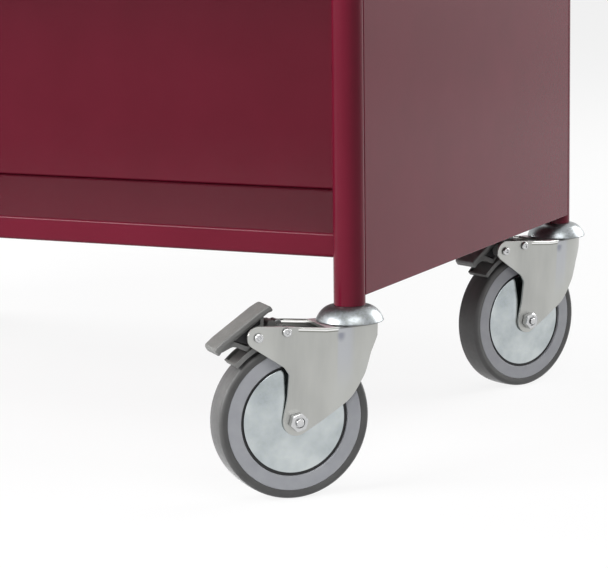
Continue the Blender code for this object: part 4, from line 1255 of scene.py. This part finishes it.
cam = eased(in_mm((4, -3), (10.5, -3, 1), (10.5, 7.2, 1.5), (4.6, 7.2, 1.5), (2, 2, 1)))
cam = extruded("cam", cam, CAM_FAR, CAM_NEAR, ease=CAM_EDGE)
on_castors("shoe_cam", cam, PLASTIC, ["brake_shoe"], SHOE_PIN, True)
section = eased([(0, ROLLER_FAR), (ROLLER_RADIUS, ROLLER_FAR, ROLLER_EDGE),
                 (ROLLER_RADIUS, ROLLER_NEAR, ROLLER_EDGE), (0, ROLLER_NEAR)], 4, closed=False)
roller = turned("roller", section, 32, TURN_AXIS)
roller.transform(Matrix.Translation(ROLLER_AT))
on_castors("shoe_roller", roller, GUNMETAL, ["brake_shoe"], SHOE_PIN, True)
print("roller:", round(2 * ROLLER_RADIUS / MM, 1), "mm across")

# %% [markdown]
# ## The solids that stay
# The ball races and the axle bushes sit inside other pieces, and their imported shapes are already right. They
# only need a finish, put in each solid's own material slot.

# %% Give the inner solids their steel
kept = [name for name in frame["nodes"] if name.startswith(("ball_race", "hub_bush"))]
for name in kept:
    frame["nodes"][name].data.materials.clear()
    frame["nodes"][name].data.materials.append(STEEL)
print("solids kept:", len(kept))

# %% [markdown]
# ## Camera
# The picture shows one lower corner of the trolley through a long lens, from a little above. The camera
# looks at a point near the front right post, turned and raised by two angles and tipped by a third.

# %% Set up the camera
CAMERA_TURN, CAMERA_RAISE, CAMERA_TIP = (math.radians(angle) for angle in (24.73, 9.40, -0.67))
CAMERA_DISTANCE = 2.10109
LENS = 159.294
SENSOR = 36
FRAME_OFFSET = (-0.03562, 0.01398)
FOCUS_HEIGHT = 0.150


def direction(turn, raised_by):
    """The unit vector towards a place that is turned round from the front and raised."""
    level = math.cos(raised_by)
    return Vector((math.sin(turn) * level, -math.cos(turn) * level, math.sin(raised_by)))


post = Vector(joints["swivel_front_right"]["pos_m"])
back = direction(CAMERA_TURN, CAMERA_RAISE)
level = Vector((math.cos(CAMERA_TURN), math.sin(CAMERA_TURN), 0))
tip = Matrix.Rotation(CAMERA_TIP, 3, back)
right, up = tip @ level, tip @ back.cross(level)
target = Vector((post.x, post.y, FOCUS_HEIGHT)) + right * FRAME_OFFSET[0] + up * FRAME_OFFSET[1]
camera = bpy.data.objects.new("camera", bpy.data.cameras.new("camera"))
bpy.context.scene.collection.objects.link(camera)
camera.data.sensor_width = SENSOR
camera.data.lens = LENS
camera.data.clip_start, camera.data.clip_end = 0.05, 100
axes = Matrix((right, up, back)).transposed().to_4x4()
camera.matrix_world = Matrix.Translation(target + back * CAMERA_DISTANCE) @ axes
bpy.context.scene.camera = camera
print("camera at", [round(value, 3) for value in camera.matrix_world.translation])

# %% [markdown]
# ## Floor
# The trolley stands on white paper, as in a catalogue picture. The paper glows nearly white to the camera,
# and in mirrors and glass, so shiny metal shows the same background as the picture does. It keeps enough of
# its own shading for a soft shadow. Light that only bounces off the floor meets darker tones: a pool of pale
# paper round the trolley, a dim band behind it and a dark floor beyond, so that undersides stay dark.

# %% White paper on a dark floor
FLOOR_WHITE = 0.86
SHOWN_TONE = (0.8, 0.8, 0.8)
PAPER_TONE = (0.74, 0.755, 0.78)
DARK_FLOOR = (0.034, 0.036, 0.056)
POOL_START, POOL_END = -0.9, -1.75
DIM_START, DIM_END = (0.4, 0.9), (3.4, 1.9)
DIM_STRENGTH = 0.84
PAPER = [(-5, -2.1), (-0.4, -2.1), (0.45, -1.25), (1.06, -0.9), (1.16, -0.72), (1.17, -0.6), (1.17, 0.7),
         (5, 1.6), (5, 12), (-5, 12)]
FLOOR = [(-30, -30), (30, -30), (30, 30), (-30, 30)]
FLOOR_DROP = 2 * MM
WHITE = (1, 1, 1, 1)
scene = bpy.context.scene
scene.view_settings.view_transform = "Standard"


def background_ray(owner):
    """1 for the rays that show the background: to the camera, mirrored or through glass. 0 for the rest."""
    shown = node(owner, "LightPath", {}, "Is Camera Ray")
    for kind in ("Is Glossy Ray", "Is Transmission Ray"):
        ray = node(owner, "LightPath", {}, kind)
        shown = node(owner, "Math", {0: shown, 1: ray}, 0, operation="MAXIMUM")
    return shown


def ground(name, corners, height, tone):
    """A flat sheet of floor, white where it shows as the background and of some tone to other light."""
    mesh = bpy.data.meshes.new(name)
    mesh.from_pydata([(x, y, height) for x, y in corners], [], [tuple(range(len(corners)))])
    sheet = bpy.data.objects.new(name, mesh)
    scene.collection.objects.link(sheet)
    pale = new_finish(name, Roughness=0.9, Specular_IOR_Level=0.1)
    place = node(pale, "TexCoord", {}, "Object")
    along = node(pale, "SeparateXYZ", {"Vector": place}, "Y")
    pool = ramp(pale, along, POOL_END, POOL_START)
    shade = tinted(pale, (*DARK_FLOOR, 1), tone, pool, 1.0)
    dim = both(pale, ramp(pale, along, *DIM_START), ramp(pale, along, *DIM_END))
    shade = tinted(pale, shade, DARK_FLOOR, dim, DIM_STRENGTH)
    shown = background_ray(pale)
    feed(pale, shader_of(pale).inputs["Base Color"], tinted(pale, shade, SHOWN_TONE, shown, 1.0))
    share = node(pale, "Math", {0: shown, 1: FLOOR_WHITE}, 0, operation="MULTIPLY")
    white = node(pale, "Emission", {"Color": WHITE, "Strength": 1.0}, 0)
    mixed = node(pale, "MixShader", {0: share, 1: shader_of(pale).outputs[0], 2: white}, 0)
    feed(pale, pale.node_tree.nodes["Material Output"].inputs["Surface"], mixed)
    mesh.materials.append(pale)


ground("paper", PAPER, 0, PAPER_TONE)
ground("dark_floor", FLOOR, -FLOOR_DROP, DARK_FLOOR)
print("paper with", len(PAPER), "corners on a floor", FLOOR[1][0] - FLOOR[0][0], "m wide")

# %% [markdown]
# ## Room
# The room is white wherever it shows as the background, like the paper. For all other light it is dim, so
# that the lamps shape the trolley. A bright world would light every side alike and flatten it.

# %% A dim room with a white background
ROOM, ROOM_BLUE = 0.034, 1.05
world = bpy.data.worlds.new("room")
scene.world = world
world.use_nodes = True
room = world.node_tree.nodes["Background"]
room.inputs["Color"].default_value = (ROOM, ROOM, ROOM * ROOM_BLUE, 1)
backdrop = node(world, "Background", {"Color": WHITE, "Strength": 1.0}, 0)
shown = background_ray(world)
mixed = node(world, "MixShader", {0: shown, 1: room.outputs[0], 2: backdrop}, 0)
feed(world, world.node_tree.nodes["World Output"].inputs["Surface"], mixed)
print("room light:", ROOM)

# %% [markdown]
# ## Lamps
# Four soft lamps stand round the trolley and face its corner: two at the left, one high in front and one at
# the right, behind. A fifth hangs behind the trolley and shines straight down, to light the paper there.
# Wide lamps give long, soft-edged highlights on the tube and the cup, where small ones would give dots.

# %% Five soft lamps
AIM_HEIGHT = 0.3


def soft_lamp(name, turn, raised_by, distance, size, power):
    """A rectangular lamp so far round from the camera, so high, facing the corner of the trolley."""
    light = bpy.data.lights.new(name, "AREA")
    light.shape = "RECTANGLE"
    light.size, light.size_y = size
    light.energy = power
    lamp = bpy.data.objects.new(name, light)
    scene.collection.objects.link(lamp)
    towards = direction(CAMERA_TURN + math.radians(turn), math.radians(raised_by))
    lamp.location = Vector((post.x, post.y, AIM_HEIGHT)) + towards * distance
    lamp.rotation_euler = towards.to_track_quat("Z", "Y").to_euler()
    lamp.visible_camera = False
    return lamp


soft_lamp("left_lamp", -64, 22, 2.6, (1.6, 1.2), 98)
soft_lamp("far_left_lamp", -122, 14, 2.8, (0.8, 1.3), 80)
soft_lamp("front_lamp", 18, 44, 2.6, (1.9, 1.4), 36)
soft_lamp("right_lamp", 124, 18, 3.0, (2.0, 1.6), 73)
back_lamp = soft_lamp("back_lamp", 130, 32, 4.6, (1.5, 1.5), 30)
back_lamp.rotation_euler = (0, 0, 0)
